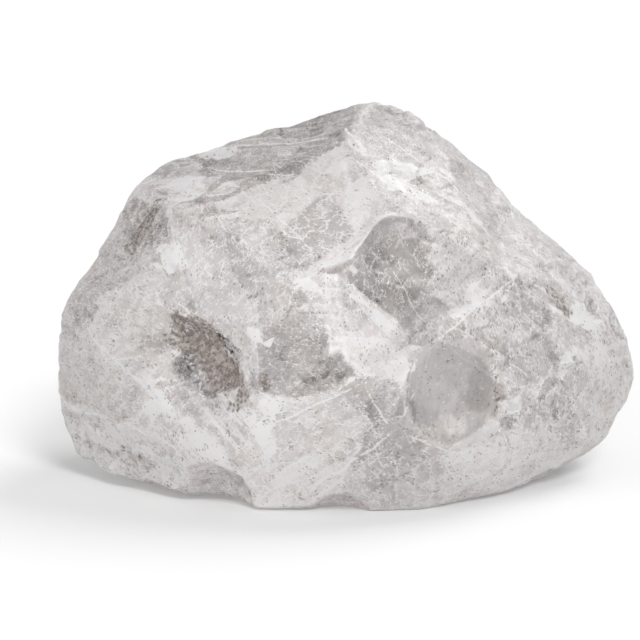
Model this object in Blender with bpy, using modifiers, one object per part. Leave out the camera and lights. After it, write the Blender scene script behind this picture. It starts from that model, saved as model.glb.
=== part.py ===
"""Rough clear quartz: one broken chunk of see-through stone that sits on a flat sole.

The front of the stone is drawn as one view of it. Each corner where broken faces meet is given by
how far right and how far down it stands in that view and by about how deep it lies, and the corners
then slide along their lines of sight until each broken face is nearly flat. The back and the sole
are drawn in millimetres. All corners form a web around the heart of the stone, which is closed into
a faceted body. Hollow scars are cut out of it, and the finer breakage (ledges, grooves and chips)
is pushed into its skin. Lengths are in millimetres, with X to the right, Y to the back and Z up.
"""

import math

import bmesh
import bpy
import numpy as np
from mathutils import Vector

MM = 0.001
NODE = "quartz"
COLLECTION = "Rough clear quartz"
CUTTERS = "Quartz cutters"

# The view that the front is drawn in: a square of steps, counted right and down from its corner.
VIEW_STEPS = 640
VIEW_WIDTH = 109.4
VIEW_DISTANCE = 516.6
VIEW_TILT = 14.0
VIEW_AIM = np.array((-4.2, -8.0, 28.0))

# How strongly a corner keeps to its drawn depth while the faces are made flat.
FIRM = 6.0
LOOSE = 0.4
FLATTEN_ROUNDS = 180
FLATTEN_EASE = 0.6
CORNER_SNAP = 0.5

# Corners in the view. name: (steps right, steps down, depth in millimetres, how firmly it is held)
SKYLINE = {
    "sky_lobe": (62, 302, -5, LOOSE),
    "sky_flank_low": (95, 257, 0, LOOSE),
    "sky_flank": (118, 215, 1, LOOSE),
    "sky_corner": (132, 183, 4, LOOSE),
    "sky_left": (165, 160, 8, LOOSE),
    "sky_step": (215, 147, 9, LOOSE),
    "sky_roof": (250, 135, 10, LOOSE),
    "sky_rise": (320, 113, 7, LOOSE),
    "peak_left": (357, 104, 5, LOOSE),
    "peak_right": (392, 104, 6, LOOSE),
    "peak_drop": (407, 114, 4, LOOSE),
    "sky_slope": (463, 158, 4, LOOSE),
    "sky_shoulder": (489, 173, 4, LOOSE),
    "sky_notch": (502, 199, 3, LOOSE),
    "sky_step_down": (514, 211, 3.5, LOOSE),
    "sky_hip": (532, 226, 3, LOOSE),
    "sky_saddle": (541, 239, 2.5, LOOSE),
    "sky_knob": (557, 247, 2, LOOSE),
    "sky_tail": (577, 262, 1, LOOSE),
    "sky_end": (592, 278, 0, LOOSE),
    "sky_far": (613, 309, -2, LOOSE),
}
ROOF_AND_PLATE = {
    "roof_front": (152, 203, -5, LOOSE),
    "roof_low": (205, 207, -11, LOOSE),
    "plate_left": (250, 208, -13, FIRM),
    "crease": (300, 165, -9, LOOSE),
    "brow_left": (335, 143, -6, LOOSE),
    "brow_mid": (357, 127, -2, LOOSE),
    "brow_right": (424, 131, 1, LOOSE),
    "nose_high": (447, 165, -5, LOOSE),
    "nose_tip": (478, 250, -21, FIRM),
    "plate_mid": (385, 200, -16, LOOSE),
    "plate_side": (262, 225, -16, FIRM),
    "plate_heel": (288, 267, -20.5, FIRM),
    "plate_low": (334, 271, -22, FIRM),
    "lip_left": (372, 241, -23.5, FIRM),
    "lip_step": (412, 250, -23, FIRM),
}
CHEEK = {
    "cheek_top": (165, 222, -9, LOOSE),
    "cheek_ridge": (205, 215, -14, FIRM),
    "cheek_low": (262, 262, -20, FIRM),
    "cheek_foot": (283, 290, -23, FIRM),
    "cheek_corner": (245, 352, -25, LOOSE),
    "cheek_lip": (232, 343, -25.5, FIRM),
    "cheek_edge": (205, 325, -22.5, FIRM),
    "cheek_start": (170, 312, -18.5, FIRM),
    "cheek_hem": (150, 303, -16.5, FIRM),
    "cheek_back": (150, 252, -9, LOOSE),
    "flank_hem": (100, 298, -12, FIRM),
    "pit_back": (202, 332, -17, FIRM),
    "pit_mid": (227, 351, -19.5, FIRM),
    "pit_low": (237, 376, -21.5, FIRM),
    "pit_lip": (243, 370, -26.5, FIRM),
    "pit_rim": (184, 352, -19, LOOSE),
    "pit_tail": (240, 412, -26.5, LOOSE),
}
BREAST = {
    "valley_right": (430, 290, -20, FIRM),
    "valley_low": (398, 322, -21, FIRM),
    "breast_top": (296, 281, -23, LOOSE),
    "breast_left": (300, 330, -24, LOOSE),
    "breast_hem": (347, 364, -28.5, LOOSE),
    "breast_point": (405, 392, -32, FIRM),
    "breast_right": (436, 337, -27.5, FIRM),
    "panel_right": (365, 386, -31.5, FIRM),
    "panel_mid": (280, 400, -30, LOOSE),
    "panel_low": (250, 440, -29, LOOSE),
    "foot_right": (385, 425, -31.5, LOOSE),
    "foot_ridge": (345, 470, -30, LOOSE),
    "spur": (228, 482, -26.5, LOOSE),
}
RIGHT_END = {
    "side_top": (500, 275, -17, FIRM),
    "side_front": (505, 289, -18.5, LOOSE),
    "hip_low": (555, 280, -8, LOOSE),
    "ridge_top": (490, 205, 0, LOOSE),
    "ridge_mid": (520, 225, -0.5, LOOSE),
    "ridge_low": (560, 262, -3, LOOSE),
    "band_back": (578, 292, -5, LOOSE),
    "band_mid": (550, 320, -14, LOOSE),
    "band_end": (600, 326, -4.5, LOOSE),
    "side_mid": (575, 360, -14.5, FIRM),
    "side_low": (545, 387, -20.5, FIRM),
    "side_foot": (500, 440, -25, LOOSE),
    "scar_right": (497, 383, -26, FIRM),
    "scar_low": (495, 418, -27, LOOSE),
    "scar_foot": (440, 447, -30, LOOSE),
    "scar_left": (405, 428, -31.5, LOOSE),
    "end_inner": (575, 420, -15, LOOSE),
    "end_foot": (585, 445, -12, LOOSE),
    "end_tip": (634, 360, -4, LOOSE),
    "end_low": (632, 390, -5, LOOSE),
    "end_heel": (608, 438, -6, LOOSE),
    "end_sole": (590, 452, -6, LOOSE),
}
LEFT_LOBE = {
    "lobe_ridge": (97, 353, -17, FIRM),
    "lobe_side": (55, 350, -7.5, FIRM),
    "lobe_front": (130, 425, -19.5, FIRM),
    "lobe_low": (58, 392, -7, LOOSE),
    "lobe_cheek": (67, 430, -7, LOOSE),
    "lobe_end": (76, 457, -8, LOOSE),
    "lobe_sole": (104, 472, -13, LOOSE),
    "lobe_hem": (130, 480, -17, LOOSE),
    "lobe_toe": (183, 492, -22, LOOSE),
    "streak_top": (155, 395, -23.5, FIRM),
    "streak_mid": (190, 385, -24, FIRM),
    "streak_right": (214, 389, -25, FIRM),
    "streak_low": (165, 430, -23.5, LOOSE),
    "streak_foot": (205, 473, -25.5, LOOSE),
}
HEM = {
    "hem_spur": (222, 490, -25, LOOSE),
    "hem_left": (252, 507, -28, LOOSE),
    "hem_mid": (300, 507, -28, LOOSE),
    "hem_notch": (328, 499, -28, LOOSE),
    "hem_front": (375, 513, -27.5, LOOSE),
    "hem_right": (420, 509, -27.5, LOOSE),
    "hem_heel": (500, 490, -21, LOOSE),
    "hem_side": (545, 470, -13, LOOSE),
}
VIEW_GROUPS = (SKYLINE, ROOF_AND_PLATE, CHEEK, BREAST, RIGHT_END, LEFT_LOBE, HEM)

# The broken faces of the front, each as the corners round it.
FACES = {
    "roof": "sky_left sky_step sky_roof sky_rise peak_left brow_mid brow_left crease plate_left roof_low",
    "roof end": "sky_corner sky_left roof_low roof_front",
    "peak": "peak_left peak_right peak_drop brow_right brow_mid",
    "plate left": "plate_left crease brow_left plate_mid lip_left plate_low plate_heel plate_side",
    "plate right": "brow_left brow_mid brow_right nose_high nose_tip lip_step plate_mid",
    "shoulder": "peak_drop sky_slope sky_shoulder sky_notch ridge_top nose_high brow_right",
    "right roof": "nose_high nose_tip side_top hip_low ridge_low ridge_mid ridge_top",
    "right rim": "ridge_top ridge_mid ridge_low sky_tail sky_knob sky_saddle sky_hip sky_step_down sky_notch",
    "flank": "sky_corner sky_flank sky_flank_low sky_lobe flank_hem cheek_hem cheek_back roof_front",
    "cheek": "cheek_top cheek_ridge cheek_low cheek_foot breast_left cheek_corner pit_lip cheek_lip"
    " cheek_edge cheek_start cheek_hem cheek_back",
    "strip": "roof_low plate_left plate_side plate_heel cheek_low cheek_ridge",
    "strip low": "plate_heel breast_top cheek_foot cheek_low",
    "top step": "roof_front roof_low cheek_ridge cheek_top",
    "valley": "plate_low lip_left lip_step valley_right valley_low",
    "breast": "breast_top plate_low valley_low breast_right breast_point breast_hem breast_left",
    "side high": "lip_step nose_tip side_top side_front breast_right valley_low valley_right",
    "side": "breast_right side_front band_mid side_mid side_low scar_right",
    "band": "side_front side_top hip_low band_back band_end side_mid band_mid",
    "hip": "hip_low ridge_low sky_tail sky_end band_back",
    "far end": "band_back sky_end sky_far band_end",
    "end": "band_end sky_far end_tip end_low end_heel end_foot end_inner side_mid",
    "lower side": "scar_right side_low side_mid end_inner end_foot side_foot scar_low",
    "belly": "scar_foot scar_low side_foot end_foot hem_side hem_heel hem_right",
    "wedge": "breast_hem breast_point scar_left foot_right panel_right",
    "front low": "foot_right scar_left scar_foot hem_right hem_front hem_notch foot_ridge",
    "panel": "panel_mid panel_right foot_right foot_ridge hem_notch hem_mid hem_left spur panel_low",
    "grey facet": "breast_left breast_hem panel_right panel_mid pit_lip cheek_corner",
    "pit": "pit_back pit_mid pit_low pit_tail streak_right streak_mid pit_rim",
    "streaked": "streak_top streak_mid streak_right pit_tail panel_low spur streak_foot streak_low",
    "lobe": "sky_lobe flank_hem cheek_hem cheek_start pit_rim streak_mid streak_top lobe_ridge lobe_side",
    "lobe front": "lobe_side lobe_ridge streak_top streak_low lobe_front lobe_low",
    "lobe low": "lobe_low lobe_front streak_low streak_foot lobe_toe lobe_hem lobe_sole lobe_end lobe_cheek",
}

# Corners out of the view, in millimetres. name: (right, back, up)
BACK = {
    "back_crest_left": (-30, 15, 47),
    "back_crest": (-4, 19, 55),
    "back_crest_right": (22, 16, 50),
    "back_hip": (37, 13, 37),
    "back_left": (-43, 12, 30),
    "back_mid_left": (-25, 27, 33),
    "back_mid": (3, 33, 32),
    "back_mid_right": (28, 27, 27),
    "back_right": (46, 9, 20),
    "back_low_left": (-44, 9, 14),
    "back_low_mid_left": (-29, 24, 11),
    "back_low": (-2, 30, 9),
    "back_low_right": (24, 27, 7),
    "back_end": (42, 13, 7),
}
SOLE = {
    "sole_left": (-33, -4, 1),
    "sole_back_left": (-25, 12, -3),
    "sole_back": (-8, 21, -3),
    "sole_back_right": (17, 19, -3),
    "sole_right": (30, 6, -2),
    "sole_front_right": (26, -12, -3),
    "sole_front": (5, -23, -3),
    "sole_front_left": (-12, -21, -3),
    "sole_mid_left": (-22, -12, -2.5),
    "sole_mid": (2, 0, -4),
}
HEART = np.array((0.0, 0.0, 27.0))

# Hollow scars: each is the dish that a ball leaves when it bites in between some corners.
# name: (corners round it, degrees to the right and above the level that it faces, radius, depth)
SCARS = {
    "window": ("breast_right breast_point scar_left scar_foot scar_low scar_right", 20, 15, 21, 2.0),
    "pit": ("pit_lip pit_low pit_rim streak_right", -30, 15, 14, 2.0),
    "valley": ("valley_right valley_low lip_left lip_step", 5, 30, 20, 1.5),
    "left notch": ("hem_spur spur streak_foot", -20, -50, 7, 2.2),
    "middle notch": ("hem_notch hem_mid hem_front", 10, -60, 6, 2.0),
    "back upper": ("back_crest_left back_crest back_mid_left", -155, 35, 24, 2.8),
    "back lower": ("back_mid back_mid_right back_low back_low_right", 160, -5, 22, 2.6),
    "back end": ("back_hip back_right back_end", 125, 15, 18, 2.0),
}

# Faces that broke cleanly: chips stay faint within about this many millimetres of their middles.
CLEAN_FACES = {
    "plate left": 10,
    "plate right": 10,
    "cheek": 9,
    "panel": 12,
    "wedge": 7,
    "right roof": 8,
    "breast": 8,
}
CLEAN_CALM = 0.85
CLEAN_FADE_START = 1.6
CLEAN_FADE = 1.3

SKIN_CELL = 0.75
SKIN_TRIANGLES = 7000

# Ledges run along the roof, from its left end to where it rises to the peak.
LEDGE_FACE = "roof"
LEDGE_LINE = ("sky_left", "sky_rise")
LEDGE_WIDTH = 3.4
LEDGE_HEIGHT = 0.55
LEDGE_AIM = 0.90
LEDGE_AIM_FADE = 0.06
LEDGE_DROP = 0.82
LEDGE_SWAY = 0.9
LEDGE_SWAY_LENGTH = 9.0
LEDGE_CROWD = 1.6
LEDGE_CROWD_LENGTH = 4.1
LEDGE_BREAK_LENGTH = 5.3
LEDGE_BREAK_WIDTH = 2.2

# Grooves run down to the right across the lower left face.
GROOVE_FACE = "streaked"
GROOVE_LINE = ("streak_low", "hem_left")
GROOVE_REACH = 11.0
GROOVE_WIDTH = 4.2
GROOVE_DEPTH = 0.5
GROOVE_FADE_START = 1.8
GROOVE_FADE = 1.5
GROOVE_FRONT = 8.0

CHIP_COUNT = 300
CHIP_TILT = 0.055
CHIP_STEP = 0.07
GRAIN_WAVES = 14
GRAIN_LENGTH = 5.0
GRAIN_SPREAD = (0.6, 1.6)
GRAIN_HEIGHT = 0.07
SOLE_MARGIN = 1.5
FLOOR_BLOCK = 200
SEED = 7

STONE_COLOUR = (0.80, 0.79, 0.78, 1.0)
STONE_ROUGHNESS = 0.3
STONE_IOR = 1.544


def clear_scene():
    """Remove the objects that are in the scene."""
    for obj in list(bpy.data.objects):
        bpy.data.objects.remove(obj, do_unlink=True)


def new_collection(name):
    """Add a collection to the scene."""
    collection = bpy.data.collections.new(name)
    bpy.context.scene.collection.children.link(collection)
    return collection


def add_object(name, mesh, collection):
    """Put a mesh in a collection as one object."""
    obj = bpy.data.objects.new(name, mesh)
    collection.objects.link(obj)
    return obj


def to_mesh(name, bm):
    """Turn a bmesh into a mesh."""
    mesh = bpy.data.meshes.new(name)
    bm.to_mesh(mesh)
    bm.free()
    return mesh


def unit(vector):
    """Scale a vector to length one."""
    return vector / np.linalg.norm(vector)


def facing(azimuth, tilt):
    """Point a vector some degrees to the right of the front and some degrees above the level."""
    turn, rise = math.radians(azimuth), math.radians(tilt)
    level = math.cos(rise)
    return np.array((math.sin(turn) * level, -math.cos(turn) * level, math.sin(rise)))


def sight_lines(rights, downs):
    """Give each place in the view its line of sight.

    A line is where it passes the plane of no depth, and how it moves on for each millimetre back.
    """
    towards_eye = facing(0.0, VIEW_TILT)
    upward = facing(180.0, 90.0 - VIEW_TILT)
    eye = VIEW_AIM + towards_eye * VIEW_DISTANCE
    step = VIEW_WIDTH / VIEW_STEPS / VIEW_DISTANCE
    sideways = (rights - VIEW_STEPS / 2)[:, None] * np.array((1.0, 0.0, 0.0))
    upwards = (VIEW_STEPS / 2 - downs)[:, None] * upward
    ways = step * (sideways + upwards) - towards_eye
    slopes = ways / ways[:, 1:2]
    return eye - slopes * eye[1], slopes


def plane_facing(corners):
    """Find the way that the flattest plane through some corners faces."""
    return np.linalg.svd(corners - corners.mean(axis=0))[2][2]


def flattened(names, drawn):
    """Slide the drawn corners along their lines of sight until each face is nearly flat.

    In each round a corner moves part of the way to where the planes of its faces cross its line
    of sight, and is held back towards its drawn depth.
    """
    starts, slopes = sight_lines(drawn[:, 0], drawn[:, 1])
    hold = drawn[:, 3]
    depths = drawn[:, 2].copy()
    faces = [[names.index(name) for name in ring.split()] for ring in FACES.values()]
    for _ in range(FLATTEN_ROUNDS):
        places = starts + slopes * depths[:, None]
        pull = hold * (drawn[:, 2] - depths)
        weight = hold.copy()
        for face in faces:
            way = plane_facing(places[face])
            gap = (places[face] - places[face].mean(axis=0)) @ way
            lean = slopes[face] @ way
            pull[face] -= gap * lean
            weight[face] += lean**2
        depths += FLATTEN_EASE * pull / weight
    return starts + slopes * depths[:, None]


def all_corners():
    """Work out every corner, in millimetres, by name."""
    view = {name: values for group in VIEW_GROUPS for name, values in group.items()}
    names = list(view)
    places = flattened(names, np.array(list(view.values()), dtype=float))
    snapped = np.round(places / CORNER_SNAP) * CORNER_SNAP
    corners = dict(zip(names, snapped))
    corners.update({name: np.array(place, dtype=float) for name, place in {**BACK, **SOLE}.items()})
    return corners


def middle(corners, ring):
    """Find the middle of the named corners."""
    return np.mean([corners[name] for name in ring.split()], axis=0)


def line_way(corners, ends):
    """Find the way from one named corner to another."""
    return unit(corners[ends[1]] - corners[ends[0]])


def face_way(corners, face):
    """Find the way out of the stone that a named face looks."""
    ring = np.array([corners[name] for name in FACES[face].split()])
    way = plane_facing(ring)
    return way if way @ (ring.mean(axis=0) - HEART) > 0.0 else -way


def corner_web(corners):
    """Close the corners into one faceted body.

    Seen from the heart, every corner has its own direction. The hull of those directions says
    which corners are neighbours, and each is then moved out to where it belongs.
    """
    heart = Vector(HEART) * MM
    places = [Vector(place) * MM for place in corners.values()]
    bm = bmesh.new()
    for place in places:
        bm.verts.new((place - heart).normalized())
    bmesh.ops.convex_hull(bm, input=bm.verts)
    bm.verts.ensure_lookup_table()
    for vert in bm.verts:
        nearest = max(places, key=lambda place: (place - heart).normalized().dot(vert.co))
        vert.co = nearest
    bmesh.ops.recalc_face_normals(bm, faces=bm.faces)
    return to_mesh("web", bm)


def scar_cutter(name, place, way, radius, depth, collection):
    """Make the ball that bites one scar."""
    bm = bmesh.new()
    bmesh.ops.create_icosphere(bm, subdivisions=4, radius=radius * MM)
    centre = place + way * (radius - depth)
    bmesh.ops.translate(bm, vec=Vector(centre) * MM, verts=bm.verts)
    cutter = add_object(f"scar {name}", to_mesh(name, bm), collection)
    cutter.hide_render = True
    cutter.display_type = "WIRE"
    return cutter


def evaluated_mesh(obj):
    """Read an object's mesh with its modifiers."""
    bpy.context.view_layer.update()
    graph = bpy.context.evaluated_depsgraph_get()
    return bpy.data.meshes.new_from_object(obj.evaluated_get(graph))


def bitten_body(corners, collection, cutters):
    """Cut the scars out of the web and give it an even skin."""
    obj = add_object("body", corner_web(corners), collection)
    for name, (ring, azimuth, tilt, radius, depth) in SCARS.items():
        place, way = middle(corners, ring), facing(azimuth, tilt)
        bite = obj.modifiers.new(name, "BOOLEAN")
        bite.operation = "DIFFERENCE"
        bite.solver = "EXACT"
        bite.object = scar_cutter(name, place, way, radius, depth, cutters)
    skin = obj.modifiers.new("even skin", "REMESH")
    skin.mode = "VOXEL"
    skin.voxel_size = SKIN_CELL * MM
    mesh = evaluated_mesh(obj)
    bpy.data.objects.remove(obj, do_unlink=True)
    return mesh


def smooth_step(value):
    """Ease from 0 to 1 as the value goes from 0 to 1."""
    value = np.clip(value, 0.0, 1.0)
    return value * value * (3.0 - 2.0 * value)


def grain(points, length, generator):
    """Sum a few plane waves of about one length into an even ripple between -1 and 1."""
    total = np.zeros(len(points))
    for _ in range(GRAIN_WAVES):
        way = unit(generator.normal(size=3))
        pitch = length * generator.uniform(*GRAIN_SPREAD)
        total += np.sin(points @ way * math.tau / pitch + generator.uniform(0.0, math.tau))
    return total / math.sqrt(GRAIN_WAVES)


def cleanness(points, corners):
    """Say how cleanly each point broke, from 0 on rough stone to 1 on a clean face."""
    clean = np.zeros(len(points))
    for face, reach in CLEAN_FACES.items():
        distance = np.linalg.norm(points - middle(corners, FACES[face]), axis=1)
        near = smooth_step(CLEAN_FADE_START - CLEAN_FADE * distance / reach)
        clean = np.maximum(clean, near)
    return clean


def ledges(points, normals, corners):
    """Step the roof in long ledges that run along it, one above the other."""
    along = line_way(corners, LEDGE_LINE)
    way = face_way(corners, LEDGE_FACE)
    on_roof = smooth_step((normals @ way - LEDGE_AIM) / LEDGE_AIM_FADE)
    run = points @ along
    height = points @ unit(np.cross(along, way))
    sway = LEDGE_SWAY * np.sin(run / LEDGE_SWAY_LENGTH)
    crowd = LEDGE_CROWD * np.sin(height / LEDGE_CROWD_LENGTH)
    phase = np.mod((height + sway + crowd) / LEDGE_WIDTH, 1.0)
    tread = phase - smooth_step((phase - LEDGE_DROP) / (1.0 - LEDGE_DROP))
    broken = 0.6 + 0.4 * np.sin(run / LEDGE_BREAK_LENGTH + height / LEDGE_BREAK_WIDTH)
    return LEDGE_HEIGHT * on_roof * broken * tread


def grooves(points, corners):
    """Plough the lower left face with long grooves that run down to the right."""
    across = unit(np.cross(line_way(corners, GROOVE_LINE), (0.0, -1.0, 0.0)))
    offset = points - middle(corners, FACES[GROOVE_FACE])
    distance = np.linalg.norm(offset, axis=1)
    near = smooth_step(GROOVE_FADE_START - GROOVE_FADE * distance / GROOVE_REACH)
    front = smooth_step(-points[:, 1] / GROOVE_FRONT - 1.0)
    wave = np.sin(offset @ across * math.tau / GROOVE_WIDTH)
    return -GROOVE_DEPTH * near * front * smooth_step(0.5 + 0.5 * wave)


def chips(points, generator):
    """Tilt the skin in small flat chips, each the cell around its own centre."""
    centres = points[generator.choice(len(points), CHIP_COUNT, replace=False)]
    square = (points**2).sum(1)[:, None] - 2.0 * points @ centres.T + (centres**2).sum(1)
    nearest = square.argmin(1)
    tilts = generator.normal(scale=CHIP_TILT, size=(CHIP_COUNT, 3))
    steps = generator.normal(scale=CHIP_STEP, size=CHIP_COUNT)
    across = points - centres[nearest]
    return steps[nearest] + (across * tilts[nearest]).sum(1)


def mesh_array(mesh, attribute):
    """Read the vertex places or normals of a mesh as rows of three."""
    values = np.empty(len(mesh.vertices) * 3)
    mesh.vertices.foreach_get(attribute, values)
    return values.reshape(-1, 3)


def break_skin(mesh, corners):
    """Push the ledges, grooves, chips and grain into the skin."""
    generator = np.random.default_rng(SEED)
    points = mesh_array(mesh, "co") / MM
    normals = mesh_array(mesh, "normal")
    rough = 1.0 - CLEAN_CALM * cleanness(points, corners)
    rise = ledges(points, normals, corners) + grooves(points, corners)
    rise += rough * chips(points, generator)
    rise += rough * GRAIN_HEIGHT * grain(points, GRAIN_LENGTH, generator)
    rise *= smooth_step(points[:, 2] / SOLE_MARGIN)
    outward = points - HEART
    outward /= np.linalg.norm(outward, axis=1)[:, None]
    points += outward * rise[:, None]
    mesh.vertices.foreach_set("co", (points * MM).ravel())
    mesh.update()


def thinned(mesh, collection):
    """Keep the triangles that the shape needs and drop the others."""
    mesh.calc_loop_triangles()
    obj = add_object("thinning", mesh, collection)
    thin = obj.modifiers.new("thin", "DECIMATE")
    thin.ratio = SKIN_TRIANGLES / len(mesh.loop_triangles)
    thin.use_collapse_triangulate = True
    result = evaluated_mesh(obj)
    bpy.data.objects.remove(obj, do_unlink=True)
    return result


def floor_cutter(collection):
    """Make the block that saws the sole flat at height zero."""
    bm = bmesh.new()
    bmesh.ops.create_cube(bm, size=FLOOR_BLOCK * MM)
    bmesh.ops.translate(bm, vec=(0.0, 0.0, -FLOOR_BLOCK * MM / 2), verts=bm.verts)
    cutter = add_object("floor block", to_mesh("floor block", bm), collection)
    cutter.hide_render = True
    cutter.display_type = "WIRE"
    return cutter


def sawn_flat(mesh, collection, cutters):
    """Saw the sole flat, so that the stone stands on one plane."""
    obj = add_object("sawing", mesh, collection)
    saw = obj.modifiers.new("flat sole", "BOOLEAN")
    saw.operation = "DIFFERENCE"
    saw.solver = "EXACT"
    saw.object = floor_cutter(cutters)
    result = evaluated_mesh(obj)
    bpy.data.objects.remove(obj, do_unlink=True)
    return result


def centred(mesh):
    """Centre the stone over the origin, in triangles."""
    bm = bmesh.new()
    bm.from_mesh(mesh)
    bmesh.ops.triangulate(bm, faces=bm.faces)
    lows = [min(vert.co[axis] for vert in bm.verts) for axis in (0, 1)]
    highs = [max(vert.co[axis] for vert in bm.verts) for axis in (0, 1)]
    shift = Vector((-(lows[0] + highs[0]) / 2, -(lows[1] + highs[1]) / 2, 0.0))
    bmesh.ops.translate(bm, vec=shift, verts=bm.verts)
    return to_mesh(NODE, bm)


def stone_material():
    """Make the plain material of the clear stone."""
    material = bpy.data.materials.new("clear quartz")
    material.use_nodes = True
    shader = material.node_tree.nodes["Principled BSDF"]
    shader.inputs["Base Color"].default_value = STONE_COLOUR
    shader.inputs["Roughness"].default_value = STONE_ROUGHNESS
    shader.inputs["Metallic"].default_value = 0.0
    shader.inputs["IOR"].default_value = STONE_IOR
    return material


def main():
    """Build the stone."""
    clear_scene()
    stone = new_collection(COLLECTION)
    cutters = new_collection(CUTTERS)
    corners = all_corners()
    skin = bitten_body(corners, stone, cutters)
    break_skin(skin, corners)
    standing = sawn_flat(thinned(skin, stone), stone, cutters)
    quartz = add_object(NODE, centred(standing), stone)
    quartz.data.materials.append(stone_material())


if __name__ == "__main__":
    main()
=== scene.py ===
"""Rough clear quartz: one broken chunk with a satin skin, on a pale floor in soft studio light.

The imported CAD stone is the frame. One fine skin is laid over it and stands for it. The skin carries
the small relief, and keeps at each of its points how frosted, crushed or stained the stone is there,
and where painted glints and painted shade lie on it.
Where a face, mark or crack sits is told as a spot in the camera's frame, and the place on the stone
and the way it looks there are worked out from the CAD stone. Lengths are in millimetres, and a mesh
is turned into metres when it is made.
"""

import functools
import logging
import math
from dataclasses import dataclass, field
from enum import Enum

import bpy
import numpy as np
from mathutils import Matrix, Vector
from mathutils.bvhtree import BVHTree

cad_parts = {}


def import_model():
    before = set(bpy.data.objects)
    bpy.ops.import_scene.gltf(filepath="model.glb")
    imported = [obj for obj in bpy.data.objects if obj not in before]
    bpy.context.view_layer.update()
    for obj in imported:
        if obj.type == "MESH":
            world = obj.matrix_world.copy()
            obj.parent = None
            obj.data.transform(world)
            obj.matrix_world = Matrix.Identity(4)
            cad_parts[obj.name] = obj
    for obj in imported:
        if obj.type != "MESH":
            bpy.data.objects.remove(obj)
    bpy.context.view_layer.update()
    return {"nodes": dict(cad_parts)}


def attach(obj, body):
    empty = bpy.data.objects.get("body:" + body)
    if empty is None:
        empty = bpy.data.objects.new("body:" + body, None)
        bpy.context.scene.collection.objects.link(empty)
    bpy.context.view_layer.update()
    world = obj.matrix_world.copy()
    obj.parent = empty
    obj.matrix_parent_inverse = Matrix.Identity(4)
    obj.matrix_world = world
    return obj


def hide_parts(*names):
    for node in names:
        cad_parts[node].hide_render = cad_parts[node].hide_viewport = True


LOG = logging.getLogger("quartz")
MM = 0.001

# A point well inside the stone, which the net is thrown at and the lamps shine on.
HEART = (0.0, 0.0, 27.0)

# What the skin keeps at its points for the material.
KEPT = (
    "light", "frost", "streak", "along", "across", "white",
    "clean", "dim", "iron", "edge", "shard", "crest", "nick",
)

# The grain's flat patterns: cells in a millimetre, how far a pattern is drawn out along the face's
# stripes, how fine clouds bend it, and the scale and line width of each net of healed cracks.
PLATE_SCALE = 0.17
SHARD_SCALE = 0.50
GRAIN_SCALE = 1.9
DOT_SCALE = 3.2
BLOB_SCALE = 1.7
SHARD_STRETCH = (0.45, 1.0, 0.0)
STRIPE_STRETCH = (0.08, 1.0, 0.0)
SUGAR_BEND = (0.7, -0.8, 0.0)
NETS = ((0.42, 0.05), (1.25, 0.09))

Place = tuple[float, float, float]
Spot = tuple[int, int]
Colour = tuple[float, float, float, float]
Socket = bpy.types.NodeSocket
Value = Socket | float


# ---------------------------------------------------------------------------------------------
# Directions, smooth steps and noise, all on whole arrays
# ---------------------------------------------------------------------------------------------


def facing(azimuth: float, tilt: float) -> np.ndarray:
    """Gives the unit direction of a face from its compass angle and its tilt.

    The direction is (sin a cos t, -cos a cos t, sin t), so azimuth 0 looks to the front.

    Args:
        azimuth: Degrees round the upright, positive to the right.
        tilt: Degrees above the level.

    Returns:
        A unit vector of three numbers.
    """
    a = math.radians(azimuth)
    t = math.radians(tilt)
    return np.array([math.sin(a) * math.cos(t), -math.cos(a) * math.cos(t), math.sin(t)])


def unit(vectors: np.ndarray) -> np.ndarray:
    """Divides each vector by its length.

    Args:
        vectors: Rows of three numbers.

    Returns:
        Rows of length one.
    """
    length = np.linalg.norm(vectors, axis=-1, keepdims=True)
    return vectors / np.maximum(length, 1e-12)


def plane_axes(towards: np.ndarray, turn: float) -> tuple[np.ndarray, np.ndarray]:
    """Gives two directions in a face's plane: the level line turned by some degrees, and its normal.

    Args:
        towards: Unit direction of the face.
        turn: Degrees by which the first direction turns from level, positive up to the right.

    Returns:
        The direction along and the direction across.
    """
    level = unit(np.cross([0.0, 0.0, 1.0], towards))
    upward = np.cross(towards, level)
    angle = math.radians(turn)
    along = level * math.cos(angle) + upward * math.sin(angle)
    return along, np.cross(towards, along)


def ramp(values: np.ndarray, low: float, high: float) -> np.ndarray:
    """Rises from 0 at low to 1 at high along the cubic 3t^2 - 2t^3. Low may be the larger one.

    Args:
        values: Any array.
        low: Where the step starts.
        high: Where the step ends.

    Returns:
        An array of the same shape, from 0 to 1.
    """
    t = np.clip((values - low) / (high - low), 0.0, 1.0)
    return t * t * (3.0 - 2.0 * t)


def cell_numbers(cells: np.ndarray, salt: int) -> np.ndarray:
    """Gives each whole-numbered cell a fixed number from 0 to 1.

    The three indices are multiplied by large odd numbers, mixed by exclusive or, and shifted and
    multiplied twice more in 32-bit arithmetic, which wraps round.

    Args:
        cells: Whole numbers, three in the last axis.
        salt: Picks one of many sets of numbers.

    Returns:
        One number for each cell.
    """
    whole = cells.astype(np.int64).astype(np.uint32)
    mixed = whole[..., 0] * np.uint32(0x9E3779B1)
    mixed ^= whole[..., 1] * np.uint32(0x85EBCA6B)
    mixed ^= whole[..., 2] * np.uint32(0xC2B2AE35)
    mixed ^= np.uint32((salt * 0x27D4EB2F) % 2**32)
    for shift, factor in ((15, 0x2C1B3C6D), (12, 0x297A2D39)):
        mixed ^= mixed >> np.uint32(shift)
        mixed *= np.uint32(factor)
    mixed ^= mixed >> np.uint32(15)
    return mixed.astype(np.float64) / 2.0**32


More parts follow.
